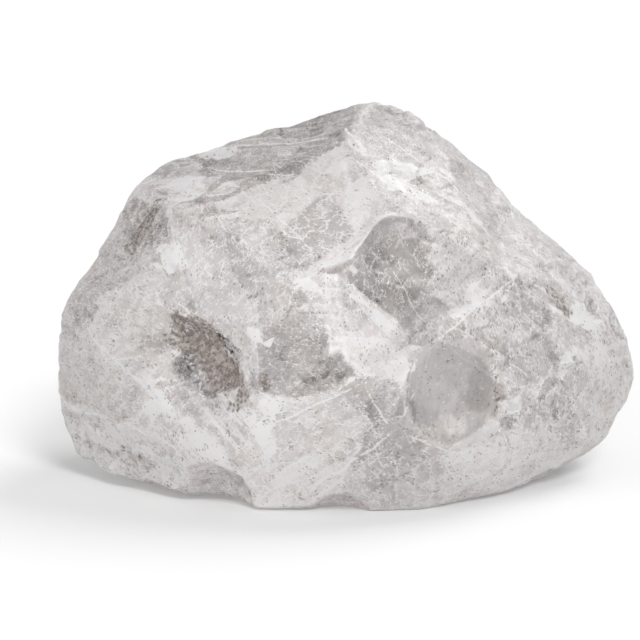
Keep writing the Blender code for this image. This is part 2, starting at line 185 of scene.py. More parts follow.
def soft_noise(points: np.ndarray, size: float, salt: int) -> np.ndarray:
    """Blends the numbers of the eight cell corners round each point.

    The blend weights follow the quintic 6t^5 - 15t^4 + 10t^3 along each axis.

    Args:
        points: Rows of three coordinates.
        size: Side of a cell.
        salt: Picks the set of numbers.

    Returns:
        One number for each point, from -1 to 1.
    """
    scaled = points / size
    low = np.floor(scaled)
    t = scaled - low
    t = t * t * t * (t * (t * 6.0 - 15.0) + 10.0)
    total = np.zeros(len(points))
    for corner in np.ndindex(2, 2, 2):
        step = np.array(corner)
        weight = np.prod(np.where(step, t, 1.0 - t), axis=1)
        total += weight * cell_numbers(low + step, salt)
    return total * 2.0 - 1.0


def layered_noise(points: np.ndarray, size: float, salt: int, layers: int = 4) -> np.ndarray:
    """Adds layers of soft noise, each of half the size and half the height of the one before.

    Args:
        points: Rows of three coordinates.
        size: Side of the largest cells.
        salt: Picks the set of numbers.
        layers: How many layers are added.

    Returns:
        One number for each point, mostly from -1 to 1.
    """
    total = np.zeros(len(points))
    for layer in range(layers):
        total += soft_noise(points, size / 2.0**layer, salt + layer) / 2.0**layer
    return total


def chip_pattern(points: np.ndarray, size: float, salt: int) -> tuple[np.ndarray, np.ndarray]:
    """Splits space into cells about seed points and lays a small tilted plane in each.

    A point belongs to the nearest seed. Its height is the seed's own step plus the slope of the
    seed's plane times the way from the seed to the point.

    Args:
        points: Rows of three coordinates.
        size: Mean distance between seeds.
        salt: Picks the set of seeds.

    Returns:
        The height at each point, from about -1 to 1, and the seed's own number from 0 to 1.
    """
    scaled = points / size
    base = np.floor(scaled)
    nearest = np.full(len(points), np.inf)
    way = np.zeros_like(points)
    owner = np.zeros_like(points)
    for offset in np.ndindex(3, 3, 3):
        cell = base + np.array(offset) - 1.0
        seeds = cell + np.stack([cell_numbers(cell, salt + axis) for axis in range(3)], axis=1)
        gap = scaled - seeds
        distance = (gap * gap).sum(axis=1)
        closer = distance < nearest
        nearest = np.where(closer, distance, nearest)
        way = np.where(closer[:, None], gap, way)
        owner = np.where(closer[:, None], cell, owner)
    slope = np.stack([cell_numbers(owner, salt + 3 + axis) for axis in range(3)], axis=1) * 2.0 - 1.0
    step = cell_numbers(owner, salt + 6)
    return (slope * way).sum(axis=1) + (step - 0.5), step


# ---------------------------------------------------------------------------------------------
# What the faces and marks of the stone are like
# ---------------------------------------------------------------------------------------------


@dataclass(frozen=True)
class View:
    """How the camera sees the stone.

    Attributes:
        aim: What the camera looks at.
        tilt: Degrees by which it looks down.
        distance: How far off it stands.
        lens: Its focal length.
        sensor: Width of its sensor.
        steps: Steps along each side of its frame, in which spots are told.
    """

    aim: Place = (-4.6, -8.3, 28.0)
    tilt: float = 14.0
    distance: float = 516.6
    lens: float = 170.0
    sensor: float = 36.0
    steps: int = 640

    def eye(self) -> np.ndarray:
        """Gives the camera's place."""
        return np.array(self.aim) + facing(0.0, self.tilt) * self.distance

    def way(self, spot: Spot) -> np.ndarray:
        """Gives the direction in which the camera sees a spot of its frame.

        With s the sensor's width over the lens and the steps, the direction is the camera's own,
        plus s times the steps right of the middle, plus s times the steps above the middle.

        Args:
            spot: Steps right and steps down from the frame's upper left corner.

        Returns:
            A unit vector.
        """
        step = self.sensor / self.lens / self.steps
        right = (spot[0] - self.steps / 2.0) * step * np.array([1.0, 0.0, 0.0])
        up = (self.steps / 2.0 - spot[1]) * step * facing(180.0, 90.0 - self.tilt)
        return unit(right + up - facing(0.0, self.tilt))


VIEW = View()


@dataclass(frozen=True)
class Seat:
    """Where something sits on the stone.

    Attributes:
        place: Its middle.
        towards: Unit direction in which the stone looks round it.
    """

    place: np.ndarray
    towards: np.ndarray


class CadStone:
    """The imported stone, asked for what lies behind a spot of the camera's frame."""

    def __init__(self, stone: bpy.types.Object) -> None:
        """Reads the stone's triangles.

        Args:
            stone: The CAD node.
        """
        mesh = stone.data
        mesh.calc_loop_triangles()
        numbers = np.empty(len(mesh.loop_triangles) * 3, dtype=np.int64)
        mesh.loop_triangles.foreach_get("vertices", numbers)
        turn = np.array(stone.matrix_world)
        points = (mesh_points(mesh) * MM @ turn[:3, :3].T + turn[:3, 3]) / MM
        corners = points[numbers].reshape(-1, 3, 3)
        self.middles = corners.mean(axis=1)
        self.facings = np.cross(corners[:, 1] - corners[:, 0], corners[:, 2] - corners[:, 0]) / 2.0
        self.tree = BVHTree.FromPolygons(points.tolist(), numbers.reshape(-1, 3).tolist())

    def seat(self, spot: Spot, reach: float) -> Seat:
        """Finds what the camera sees at a spot.

        The place is where the line of sight first meets the stone. The direction is the sum of the
        areas of the triangles within reach of it that look to the camera, each along its normal.

        Args:
            spot: Steps right and steps down in the camera's frame.
            reach: How far round the place the direction is averaged.

        Returns:
            The seat.
        """
        way = VIEW.way(spot)
        hit = self.tree.ray_cast(Vector(VIEW.eye()), Vector(way))[0]
        if hit is None:
            raise RuntimeError(f"no stone behind spot {spot}")
        place = np.array(hit)
        near = np.linalg.norm(self.middles - place, axis=1) < reach
        seen = near & (self.facings @ way < 0.0)
        return Seat(place, unit(self.facings[seen].sum(axis=0)))


class Tone(Enum):
    """How pale a broken face looks in even light, as judged."""

    DARK = 0.32
    DUSKY = 0.47
    MIDDLE = 0.66
    LIGHT = 0.79
    PALE = 0.88


class Grade(Enum):
    """How a broken face is finished: its frost from 0 to 1 and the height of its chips."""

    CLEAR = (0.10, 0.15)
    SATIN = (0.35, 0.45)
    FROSTED = (0.65, 0.85)
    SUGARY = (0.95, 0.95)

    @property
    def frost(self) -> float:
        """Share of the face that is covered in white grain."""
        return self.value[0]

    @property
    def chips(self) -> float:
        """Height of the face's chips against the stone's usual one."""
        return self.value[1]


@dataclass(frozen=True)
class BrokenFace:
    """One face of the stone: where the camera sees it and how it is finished.

    Attributes:
        name: What a maker calls it.
        spot: Its middle, as steps right and steps down in the camera's frame.
        reach: How far it spreads from its middle.
        grade: How coarse its break is.
        tone: How pale it is.
        streaks: How strongly it is striped, from 0 to 1.
        lie: Degrees by which its stripes turn from level, positive up to the right.
    """

    name: str
    spot: Spot
    reach: float
    grade: Grade
    tone: Tone
    streaks: float = 0.2
    lie: float = 0.0


FACES = (
    BrokenFace("roof", (265, 160), 15, Grade.SATIN, Tone.DUSKY, 1.0, 20),
    BrokenFace("roof_end", (163, 185), 7, Grade.SATIN, Tone.LIGHT, 0.9, 20),
    BrokenFace("peak", (385, 117), 6, Grade.FROSTED, Tone.MIDDLE, 0.3, 20),
    BrokenFace("plate_left", (320, 205), 11, Grade.CLEAR, Tone.PALE, 0.2, 40),
    BrokenFace("plate_right", (415, 190), 12, Grade.SATIN, Tone.MIDDLE, 0.3, -40),
    BrokenFace("shoulder", (468, 178), 8, Grade.SATIN, Tone.MIDDLE, 0.2, -30),
    BrokenFace("right_roof", (510, 245), 10, Grade.SATIN, Tone.MIDDLE, 0.5, -38),
    BrokenFace("right_rim", (535, 240), 6, Grade.FROSTED, Tone.MIDDLE, 0.2, -38),
    BrokenFace("stain_step", (147, 228), 5, Grade.SUGARY, Tone.DUSKY, 0.2, 60),
    BrokenFace("flank", (115, 262), 9, Grade.FROSTED, Tone.MIDDLE, 0.3, 50),
    BrokenFace("cheek", (215, 280), 12, Grade.SATIN, Tone.MIDDLE, 0.3, -60),
    BrokenFace("strip", (255, 240), 6, Grade.FROSTED, Tone.MIDDLE, 0.3, 20),
    BrokenFace("top_step", (185, 215), 5, Grade.FROSTED, Tone.LIGHT, 0.3, 20),
    BrokenFace("valley", (395, 280), 8, Grade.CLEAR, Tone.DUSKY, 0.3, -50),
    BrokenFace("breast", (350, 325), 10, Grade.SATIN, Tone.LIGHT, 0.2, -40),
    BrokenFace("side_high", (455, 285), 8, Grade.FROSTED, Tone.LIGHT, 0.2, -40),
    BrokenFace("side", (510, 335), 11, Grade.FROSTED, Tone.MIDDLE, 0.3, -40),
    BrokenFace("band", (560, 315), 9, Grade.SATIN, Tone.MIDDLE, 0.7, -40),
    BrokenFace("hip", (570, 280), 5, Grade.SUGARY, Tone.LIGHT, 0.2, -40),
    BrokenFace("far_end", (595, 305), 4, Grade.SUGARY, Tone.LIGHT, 0.2, -40),
    BrokenFace("end", (605, 375), 10, Grade.FROSTED, Tone.LIGHT, 0.3, -60),
    BrokenFace("lower_side", (535, 410), 10, Grade.SUGARY, Tone.MIDDLE, 0.2, -30),
    BrokenFace("belly_right", (510, 460), 12, Grade.SATIN, Tone.LIGHT, 0.3, 10),
    BrokenFace("window", (452, 395), 8, Grade.CLEAR, Tone.DUSKY, 0.3, 80),
    BrokenFace("wedge", (380, 395), 5, Grade.SATIN, Tone.DUSKY, 0.3, 70),
    BrokenFace("front_low", (385, 465), 9, Grade.SATIN, Tone.MIDDLE, 0.2, 20),
    BrokenFace("panel", (300, 455), 11, Grade.CLEAR, Tone.LIGHT, 0.5, 38),
    BrokenFace("grey_facet", (300, 370), 8, Grade.SATIN, Tone.DUSKY, 0.4, 35),
    BrokenFace("pit", (215, 365), 6, Grade.SUGARY, Tone.DARK, 0.2, -50),
    BrokenFace("streaked", (205, 430), 9, Grade.SATIN, Tone.LIGHT, 0.9, -42),
    BrokenFace("lobe", (125, 330), 11, Grade.SATIN, Tone.LIGHT, 0.3, 30),
    BrokenFace("lobe_front", (105, 390), 10, Grade.SATIN, Tone.LIGHT, 0.3, 50),
    BrokenFace("lobe_low", (105, 445), 11, Grade.SUGARY, Tone.PALE, 0.2, 0),
    BrokenFace("end_under", (608, 432), 5, Grade.FROSTED, Tone.LIGHT, 0.2, 0),
)


class Effect(Enum):
    """What a mark does to the skin, and the name under which the skin keeps it.

    In turn: white, both crushed white quartz and painted glints, a clean clear break with no grain,
    brown iron in the grain, and a darker spot, mostly where the stone is clear, and across the window
    painted shade.
    """

    WHITE = "white"
    CLEAN = "clean"
    IRON = "iron"
    GREY = "dim"


# How far round a mark or crack the stone's direction is averaged, how far a mark's edge fades, the
# size of its wandering, and how far cracks stray from their planes.
MARK_REACH = 4.0
MARK_FADE = 0.3
RAG_SIZE = 2.4
CRACK_SWAY = 0.9


@dataclass(frozen=True)
class Mark:
    """One local mark on the skin.

    Attributes:
        name: What a maker calls it.
        spot: Its middle, as steps right and steps down in the camera's frame.
        length: How long it is.
        width: How wide it is.
        turn: Degrees by which its length turns from level, positive up to the right.
        effect: What it does.
        strength: How strongly, from 0 to 1.
        square: Power of its outline: 2 is an oval, 8 nearly a rectangle.
        lean: How far its ends are shoved along its length, as a share of its width.
        ragged: How far its edge wanders.
    """

    name: str
    spot: Spot
    length: float
    width: float
    turn: float
    effect: Effect
    strength: float
    square: float = 3.0
    lean: float = 0.0
    ragged: float = 0.6

    def cover(self, points: np.ndarray, seat: Seat, seed: int) -> np.ndarray:
        """Says how much of the mark covers each point.

        With a and b the distances along and across the mark over half its length and width, the
        outline is |a|^n + |b|^n = 1, roughened by noise, and it fades away off the mark's plane.

        Args:
            points: Rows of three coordinates.
            seat: Where it sits on the stone.
            seed: Picks the noise.

        Returns:
            One number for each point, from 0 to 1.
        """
        along, across = plane_axes(seat.towards, self.turn)
        way = points - seat.place
        b = way @ across / (self.width / 2.0)
        a = (way @ along - self.lean * (way @ across)) / (self.length / 2.0)
        rim = (np.abs(a) ** self.square + np.abs(b) ** self.square) ** (1.0 / self.square)
        half = min(self.length, self.width) / 2.0
        outside = (rim - 1.0) * half + self.ragged * layered_noise(points, RAG_SIZE, seed, 3)
        depth = ramp(np.abs(way @ seat.towards), 0.5 * self.length + 3.0, 0.25 * self.length + 1.5)
        return self.strength * ramp(outside, MARK_FADE, -MARK_FADE) * depth


# The marks whose names end in glint are painted highlights, white laid where light glints, and
# window_shade is painted shade.
MARKS = (
    Mark("plate_window", (316, 232), 11, 9, 42, Effect.GREY, 1.0, 10, 0.2, 0.35),
    Mark("plate_crush_top", (325, 165), 7, 3, -20, Effect.WHITE, 0.6),
    Mark("plate_crush_mid", (415, 178), 14, 7, -18, Effect.WHITE, 0.8, 2.5, 0, 1.4),
    Mark("plate_crush_side", (463, 207), 13, 2.6, -62, Effect.WHITE, 0.8, 2.5, 0, 0.9),
    Mark("plate_crush_low", (392, 222), 8, 2.5, -45, Effect.WHITE, 0.4, 2.5, 0, 1.0),
    Mark("plate_bar", (342, 250), 12, 3.6, 42, Effect.WHITE, 0.35, 10, 0, 0.2),
    Mark("plate_rim", (322, 281), 9, 2.2, 15, Effect.WHITE, 0.8, 4, 0, 0.8),
    Mark("cheek_glint", (172, 257), 5.6, 4.2, -52, Effect.WHITE, 1.0, 8, 0.2, 0.2),
    Mark("nose_glint", (260, 337), 4.6, 1.6, -22, Effect.WHITE, 1.0, 6, 0.3, 0.3),
    Mark("pit_glint", (229, 353), 3.2, 1.6, -45, Effect.WHITE, 0.9, 6, 0.2, 0.3),
    Mark("roof_glint", (186, 189), 10, 8.0, 18, Effect.WHITE, 1.0, 8, 0.3, 0.3),
    Mark("roof_glint_end", (228, 187), 4.5, 5.0, 18, Effect.WHITE, 1.0, 8, 0.5, 0.2),
    Mark("roof_glint_top", (218, 153), 9, 4.0, 12, Effect.WHITE, 0.9, 4, 0, 0.4),
    Mark("lobe_glint", (155, 408), 5.0, 3.4, 40, Effect.WHITE, 1.0, 8, 0.2, 0.2),
    Mark("streak_one", (186, 424), 14, 2.6, -42, Effect.WHITE, 1.0, 4, 0, 0.4),
    Mark("streak_two", (205, 446), 16, 1.8, -42, Effect.WHITE, 0.9, 4, 0, 0.3),
    Mark("streak_three", (230, 462), 12, 1.6, -38, Effect.WHITE, 0.6, 4, 0, 0.6),
    Mark("breast_crush", (352, 316), 15, 7, -40, Effect.WHITE, 0.6, 5, 0.2, 0.5),
    Mark("breast_foot", (405, 362), 8, 4.5, 50, Effect.WHITE, 0.8, 2.5, 0, 1.0),
    Mark("panel_crush", (264, 419), 7.5, 4.5, 60, Effect.WHITE, 0.9, 6, 0.2, 0.4),
    Mark("panel_light", (300, 432), 15, 3.2, 33, Effect.WHITE, 0.45, 8, 0, 0.2),
    Mark("shoulder_glint", (478, 183), 3, 1.5, -25, Effect.WHITE, 0.9, 4, 0, 0.3),
    Mark("rim_glint", (497, 209), 2, 1.3, -25, Effect.WHITE, 0.9, 4, 0, 0.3),
    Mark("window_glint", (513, 406), 3.8, 3.0, 20, Effect.WHITE, 1.0, 8, 0.2, 0.2),
    Mark("window_foot_dim", (511, 421), 5, 2.6, 0, Effect.GREY, 0.8, 6, 0.3, 0.2),
    Mark("window_break", (452, 392), 14, 17.5, 0, Effect.CLEAN, 1.0, 8, -0.15, 0.2),
    Mark("window_corner", (404, 420), 7, 4, 68, Effect.CLEAN, 1.0, 8, 0.2, 0.2),
    Mark("window_corner_dim", (404, 420), 7, 4, 68, Effect.GREY, 0.7, 8, 0.2, 0.2),
    # Painted shade: darker towards the window's right, to give it depth.
    Mark("window_shade", (480, 385), 10, 5, 80, Effect.GREY, 0.35, 2.5, 0, 0.8),
    Mark("window_tan", (497, 398), 7, 0.9, 86, Effect.IRON, 0.8, 4, 0, 0.3),
    Mark("window_cloud", (450, 427), 13, 3.4, -4, Effect.WHITE, 0.27, 2.5, 0, 1.6),
    Mark("hip_crush", (590, 320), 8, 5, -35, Effect.WHITE, 0.9, 2.5, 0, 1.0),
    Mark("band_crush", (570, 360), 4.5, 3.5, 40, Effect.WHITE, 1.0, 4, 0.2, 0.5),
    Mark("side_crush", (468, 304), 8, 1.8, 32, Effect.WHITE, 0.7, 2.5, 0, 0.6),
    Mark("valley_dim", (402, 268), 11, 9, -60, Effect.GREY, 0.35, 10, 0, 0.25),
    Mark("valley_left_dim", (362, 292), 10, 7, 45, Effect.GREY, 0.55, 10, 0.2, 0.25),
    Mark("plate_top_dim", (318, 172), 11, 5.5, -45, Effect.GREY, 0.35, 10, 0.2, 0.25),
    Mark("peak_dim", (398, 150), 8, 6, -40, Effect.GREY, 0.3, 8, 0, 0.3),
    Mark("cheek_dim", (232, 262), 11, 7, -50, Effect.GREY, 0.35, 8, 0.2, 0.3),
    Mark("lobe_dim", (140, 325), 12, 7, -35, Effect.GREY, 0.35, 8, 0.3, 0.3),
    Mark("lobe_front_dim", (125, 400), 9, 6, 40, Effect.GREY, 0.4, 8, 0.2, 0.3),
    Mark("panel_dim", (352, 432), 12, 6, 38, Effect.GREY, 0.45, 10, 0.2, 0.2),
    Mark("side_top_dim", (527, 312), 10, 7, -45, Effect.GREY, 0.45, 8, 0.3, 0.25),
    Mark("shoulder_dim", (480, 215), 9, 5, -42, Effect.GREY, 0.3, 8, 0.2, 0.3),
    Mark("roof_end_dim", (172, 168), 9, 5, 20, Effect.GREY, 0.4, 8, 0, 0.4),
    Mark("front_dim", (392, 458), 12, 8, 38, Effect.GREY, 0.6, 6, 0.2, 0.4),
    Mark("side_dim", (551, 402), 8, 7, -40, Effect.GREY, 0.5, 3, 0, 1.0),
    Mark("pit_rim_dim", (218, 338), 13, 2.4, -48, Effect.GREY, 0.9, 3, 0, 0.8),
    Mark("stain_speck_dim", (265, 385), 2.6, 2.0, -40, Effect.GREY, 0.8, 2.5, 0, 0.6),
    Mark("stain_roof_end", (142, 229), 11, 3.4, 80, Effect.IRON, 1.0, 2.5, 0, 0.8),
    Mark("stain_pit", (214, 358), 19, 6.5, -52, Effect.IRON, 1.0, 3, 0, 1.1),
    Mark("stain_speck", (265, 385), 2.6, 2.0, -40, Effect.IRON, 0.9, 2.5, 0, 0.6),
    Mark("stain_pit_left", (182, 342), 6, 3, -40, Effect.IRON, 0.6, 2.5, 0, 0.9),
    Mark("stain_hip", (560, 304), 9, 3.2, -60, Effect.IRON, 0.8, 2.5, 0, 0.8),
    Mark("stain_lobe", (125, 455), 8, 4, 20, Effect.IRON, 0.4, 2.5, 0, 1.2),
    Mark("stain_nose", (258, 300), 8, 3, -45, Effect.IRON, 0.4, 2.5, 0, 1.0),
    Mark("stain_side", (468, 268), 6, 3, -10, Effect.IRON, 0.35, 2.5, 0, 1.0),
)


@dataclass(frozen=True)
class Crack:
    """One healed crack, a thin white line where a plane through the stone meets its skin.

    Attributes:
        name: What a maker calls it.
        spot: Its middle, as steps right and steps down in the camera's frame.
        turn: Degrees by which the line turns from level, positive up to the right.
        length: How long the line is.
        width: Half of how thick it looks.
    """

    name: str
    spot: Spot
    turn: float
    length: float
    width: float = 0.16


CRACKS = (
    Crack("plate_upper", (355, 160), -45, 10, 0.24),
    Crack("plate_edge", (287, 225), -42, 15, 0.16),
    Crack("plate_foot", (330, 262), 40, 14, 0.22),
    Crack("plate_border", (425, 165), -58, 18, 0.20),
    Crack("valley_ridge", (405, 290), -60, 12, 0.16),
    Crack("side_ridge", (480, 305), 32, 20, 0.28),
    Crack("side_cross", (495, 352), -38, 16, 0.16),
    Crack("band_line", (545, 380), 38, 7, 0.24),
    Crack("lobe_ridge", (118, 362), -33, 22, 0.26),
    Crack("pit_rim", (205, 325), -30, 14, 0.20),
    Crack("panel_upper", (310, 407), 27, 20, 0.24),
    Crack("panel_ridge", (358, 458), 38, 20, 0.32),
    Crack("wedge_left", (376, 405), -60, 7.5, 0.26),
    Crack("wedge_right", (408, 405), 52, 8, 0.28),
    Crack("window_left", (425, 372), 80, 9, 0.28),
    Crack("window_right", (470, 362), -38, 11, 0.24),
    Crack("foot_line", (432, 445), -25, 10, 0.26),
    Crack("roof_line", (275, 145), 17, 22, 0.45),
    Crack("roof_second", (215, 152), 17, 12, 0.50),
    Crack("roof_third", (240, 172), 14, 14, 0.40),
)


# ---------------------------------------------------------------------------------------------
# The stone's skin
# ---------------------------------------------------------------------------------------------


def cube_lattice(count: int) -> tuple[np.ndarray, np.ndarray]:
    """Makes the surface grid of a cube, blown up into a ball of radius one.

    Each of the six sides is a grid of two parameters from -1 to 1, spread by the tangent so that its
    steps cover even angles, and each point is divided by its length. Points on shared edges are one.

    Args:
        count: Steps along an edge of the cube.

    Returns:
        The unit points, and the four point numbers of each patch, turning outwards.
    """
    line = np.arange(count + 1)
    u, v = np.meshgrid(line, line, indexing="ij")
    sides = []
    for axis in range(3):
        for end in (0, count):
            grid = np.empty((count + 1, count + 1, 3), dtype=np.int64)
            grid[..., axis] = end
            grid[..., (axis + 1) % 3] = u
            grid[..., (axis + 2) % 3] = v
            sides.append(grid if end else grid.transpose(1, 0, 2))
    lattice, number = np.unique(np.concatenate(sides).reshape(-1, 3), axis=0, return_inverse=True)
    number = number.reshape(6, count + 1, count + 1)
    corners = (number[:, :-1, :-1], number[:, 1:, :-1], number[:, 1:, 1:], number[:, :-1, 1:])
    quads = np.stack(corners, axis=-1).reshape(-1, 4)
    spread = np.tan((lattice / count * 2.0 - 1.0) * (math.pi / 4.0))
    return unit(spread), quads


def quad_mesh(name: str, points: np.ndarray, quads: np.ndarray) -> bpy.types.Mesh:
    """Puts points and four-sided patches into a mesh, in metres and shaded smooth.

    Args:
        name: The mesh's name.
        points: Rows of three coordinates in millimetres.
        quads: Rows of four point numbers.

    Returns:
        The mesh.
    """
    mesh = bpy.data.meshes.new(name)
    mesh.vertices.add(len(points))
    mesh.vertices.foreach_set("co", (points * MM).astype(np.float32).ravel())
    mesh.loops.add(quads.size)
    mesh.loops.foreach_set("vertex_index", quads.astype(np.int32).ravel())
    mesh.polygons.add(len(quads))
    mesh.polygons.foreach_set("loop_start", np.arange(0, quads.size, 4, dtype=np.int32))
    mesh.polygons.foreach_set("use_smooth", np.ones(len(quads), dtype=bool))
    mesh.update(calc_edges=True)
    mesh.validate()
    return mesh


def mesh_points(mesh: bpy.types.Mesh) -> np.ndarray:
    """Reads a mesh's points.

    Args:
        mesh: The mesh, in metres.

    Returns:
        Rows of three coordinates in millimetres.
    """
    flat = np.empty(len(mesh.vertices) * 3, dtype=np.float32)
    mesh.vertices.foreach_get("co", flat)
    return flat.reshape(-1, 3).astype(np.float64) / MM


def add_object(name: str, data: bpy.types.ID) -> bpy.types.Object:
    """Puts a new object into the scene.

    Args:
        name: The object's name.
        data: Its mesh, lamp or camera.

    Returns:
        The object.
    """
    thing = bpy.data.objects.new(name, data)
    bpy.context.scene.collection.objects.link(thing)
    return thing


def set_value(mesh: bpy.types.Mesh, name: str, values: np.ndarray) -> None:
    """Keeps one number for each point, or for each patch's corners, under a name for the material.

    Args:
        mesh: The mesh.
        name: What the material calls the numbers.
        values: One for each point, or one for each corner of each patch.
    """
    domain = "CORNER" if len(values) == len(mesh.loops) else "POINT"
    layer = mesh.attributes.new(name, "FLOAT", domain)
    layer.data.foreach_set("value", values.astype(np.float32))


def spread_directions(count: int) -> np.ndarray:
    """Spreads unit directions evenly over a ball, along a golden spiral.

    Number i of n has the height 1 - (2 i + 1) / n and is turned by i times the golden angle.

    Args:
        count: How many directions.

    Returns:
        Rows of length one.
    """
    number = np.arange(count)
    height = 1.0 - (2.0 * number + 1.0) / count
    turn = number * math.pi * (3.0 - math.sqrt(5.0))
    level = np.sqrt(1.0 - height**2)
    return np.stack([np.cos(turn) * level, np.sin(turn) * level, height], axis=1)


@dataclass
class Surface:
    """A closed net of four-sided patches with its points, as whole arrays.

    Attributes:
        points: Rows of three coordinates.
        quads: Rows of four point numbers, turning outwards.
    """

    points: np.ndarray
    quads: np.ndarray

    def normals(self) -> np.ndarray:
        """Gives the outward direction at each point.

        Each patch's direction is the cross product of its diagonals, and a point's direction is the
        unit sum over the patches that meet there.

        Returns:
            Rows of length one.
        """
        a, b, c, d = (self.points[self.quads[:, corner]] for corner in range(4))
        patch = np.cross(c - a, d - b)
        return unit(self.gathered(patch))

    def gathered(self, patch_values: np.ndarray) -> np.ndarray:
        """Adds each patch's vector to its four points.

        Args:
            patch_values: One row of three numbers for each patch.

        Returns:
            One row for each point.
        """
        columns = []
        for axis in range(3):
            spread = np.repeat(patch_values[:, axis], 4)
            columns.append(np.bincount(self.quads.ravel(), spread, minlength=len(self.points)))
        return np.stack(columns, axis=1)

    def averaged(self, vectors: np.ndarray, rounds: int) -> np.ndarray:
        """Replaces each point's vector by the mean over the patches round it, several times over.

        Args:
            vectors: One row of three numbers for each point.
            rounds: How many times the mean is taken.

        Returns:
            The smoothed rows.
        """
        shares = np.bincount(self.quads.ravel(), minlength=len(self.points))[:, None]
        for _ in range(rounds):
            vectors = self.gathered(vectors[self.quads].mean(axis=1)) / shares
        return vectors


@dataclass
class QuartzSkin:
    """The fine closed skin that stands for the stone.

    Attributes:
        steps: Patches along each edge of the cube that the net starts from.
        start_radius: Radius of the ball that the net is thrown from.
        farthest: No point of the stone is farther than this from its heart.
        chip_size: Mean width of a large chip.
        chip_height: Height of a large chip on a face of full frost.
        flake_size: Mean width of a flake on a chip.
        flake_height: Height of a flake.
        grain_size: Mean width of a sugar grain.
        grain_height: Height of a sugar grain.
        groove_size: Mean width of a stripe's groove.
        groove_height: Height of a groove on a fully striped face.
        ripple_length: From one ripple of the clean break to the next.
        ripple_height: Height of a ripple.
        crest_rounds: How many times the skin is averaged to find the stone's own crests.
        nick_rounds: How many times it is averaged to find the small relief's crests.
        ripple_middle: Where the clean break was knocked off, which its ripples run round.
        sway_size: Size of the wandering that bends the chips' straight sides.
        sway_width: How far they wander.
        stretch: How many times longer than wide the grooves are.
        groove_level: Height of the grooves' noise that is left level.
        sole_margin: Height over which the relief fades in above the floor.
        sole_height: What lies lower than this on the CAD stone is its flat sole.
        plane_scale: Distance off a face's plane that counts as much as the face's whole reach.
        parting: What a direction at right angles to a face's own counts.
        mingling: How far two faces mingle where they meet, in cost.
        edge_width: How far an edge spreads, in cost.
        told_fade: Costs at which the told faces end and at which they hold fully.
        side_count: Sides that the unseen part of the stone is shared among.
        facing_rounds: How many times directions are averaged to tell faces apart.
        lot_size: Size of the cells that give unseen sides their own values.
        lot_turn: How strongly direction, beside place, picks the cell.
        stripe_gap: How far apart the stripe patterns of two faces start, so that none runs on.
        seed: Starts every draw of random numbers.
        surface: The net, once it is laid on.
        runs: Direction along the stripes of each told face and each side.
        rises: Direction across them.
    """

    steps: int = 129
    start_radius: float = 90.0
    farthest: float = 80.0
    chip_size: float = 4.2
    chip_height: float = 0.32
    flake_size: float = 1.8
    flake_height: float = 0.14
    grain_size: float = 0.9
    grain_height: float = 0.06
    groove_size: float = 1.0
    groove_height: float = 0.10
    ripple_length: float = 2.4
    ripple_height: float = 0.03
    ripple_middle: Place = (10.0, -28.0, 12.0)
    sway_size: float = 2.5
    sway_width: float = 0.25
    stretch: float = 9.0
    groove_level: float = 0.4
    crest_rounds: int = 5
    nick_rounds: int = 2
    sole_margin: float = 1.2
    sole_height: float = 0.02
    plane_scale: float = 2.5
    parting: float = 6.0
    mingling: float = 0.04
    edge_width: float = 0.09
    told_fade: tuple[float, float] = (3.2, 2.2)
    side_count: int = 26
    facing_rounds: int = 3
    lot_size: float = 22.0
    lot_turn: float = 1.6
    stripe_gap: float = 37.0
    seed: int = 11
    surface: Surface = field(init=False)
    runs: np.ndarray = field(init=False)
    rises: np.ndarray = field(init=False)

    def lay_on(self, stone: bpy.types.Object) -> None:
        """Throws the net onto the CAD stone, straight towards its heart.

        Args:
            stone: The CAD node.
        """
        rays, quads = cube_lattice(self.steps)
        heart = np.array(HEART)
        ball = add_object("net", quad_mesh("net", heart + rays * self.start_radius, quads))
        throw = ball.modifiers.new("throw", "SHRINKWRAP")
        throw.target = stone
        throw.wrap_method = "PROJECT"
        throw.use_negative_direction = True
        throw.use_positive_direction = False
        evaluated = ball.evaluated_get(bpy.context.evaluated_depsgraph_get())
        points = mesh_points(evaluated.data)
        bpy.data.objects.remove(ball)
        missed = np.linalg.norm(points - heart, axis=1) > self.farthest
        if missed.any():
            raise RuntimeError(f"{int(missed.sum())} points of the net missed the stone")
        self.surface = Surface(points, quads)

    def face_shares(
        self, normals: np.ndarray, seats: list[Seat]
    ) -> tuple[np.ndarray, np.ndarray, np.ndarray]:
        """Shares each point among the stone's faces.

        A face's cost at a point is its distance off the face's plane, plus its distance from the
        face's middle over the face's reach, plus how far the two directions part. The shares fall
        as the exponential of the cost. An edge runs where the two lowest costs are alike.

        Args:
            normals: The skin's smoothed directions.
            seats: Where each face sits.

        Returns:
            A table of shares, points by faces, whose rows add up to one, the lowest cost, and how
            near each point is to an edge, from 0 to 1.
        """
        costs = []
        for face, seat in zip(FACES, seats):
            way = self.surface.points - seat.place
            off_plane = np.abs(way @ seat.towards) / self.plane_scale
            spread = np.linalg.norm(way, axis=1) / face.reach
            parted = 1.0 - normals @ seat.towards
            costs.append(off_plane + spread + self.parting * parted)
        table = np.stack(costs, axis=1)
        lowest = table.min(axis=1, keepdims=True)
        shares = np.exp((lowest - table) / self.mingling)
        first_two = np.partition(table, 1, axis=1)
        edge = np.exp(-((first_two[:, 1] - first_two[:, 0]) / self.edge_width) ** 2)
        return shares / shares.sum(axis=1, keepdims=True), lowest[:, 0], edge

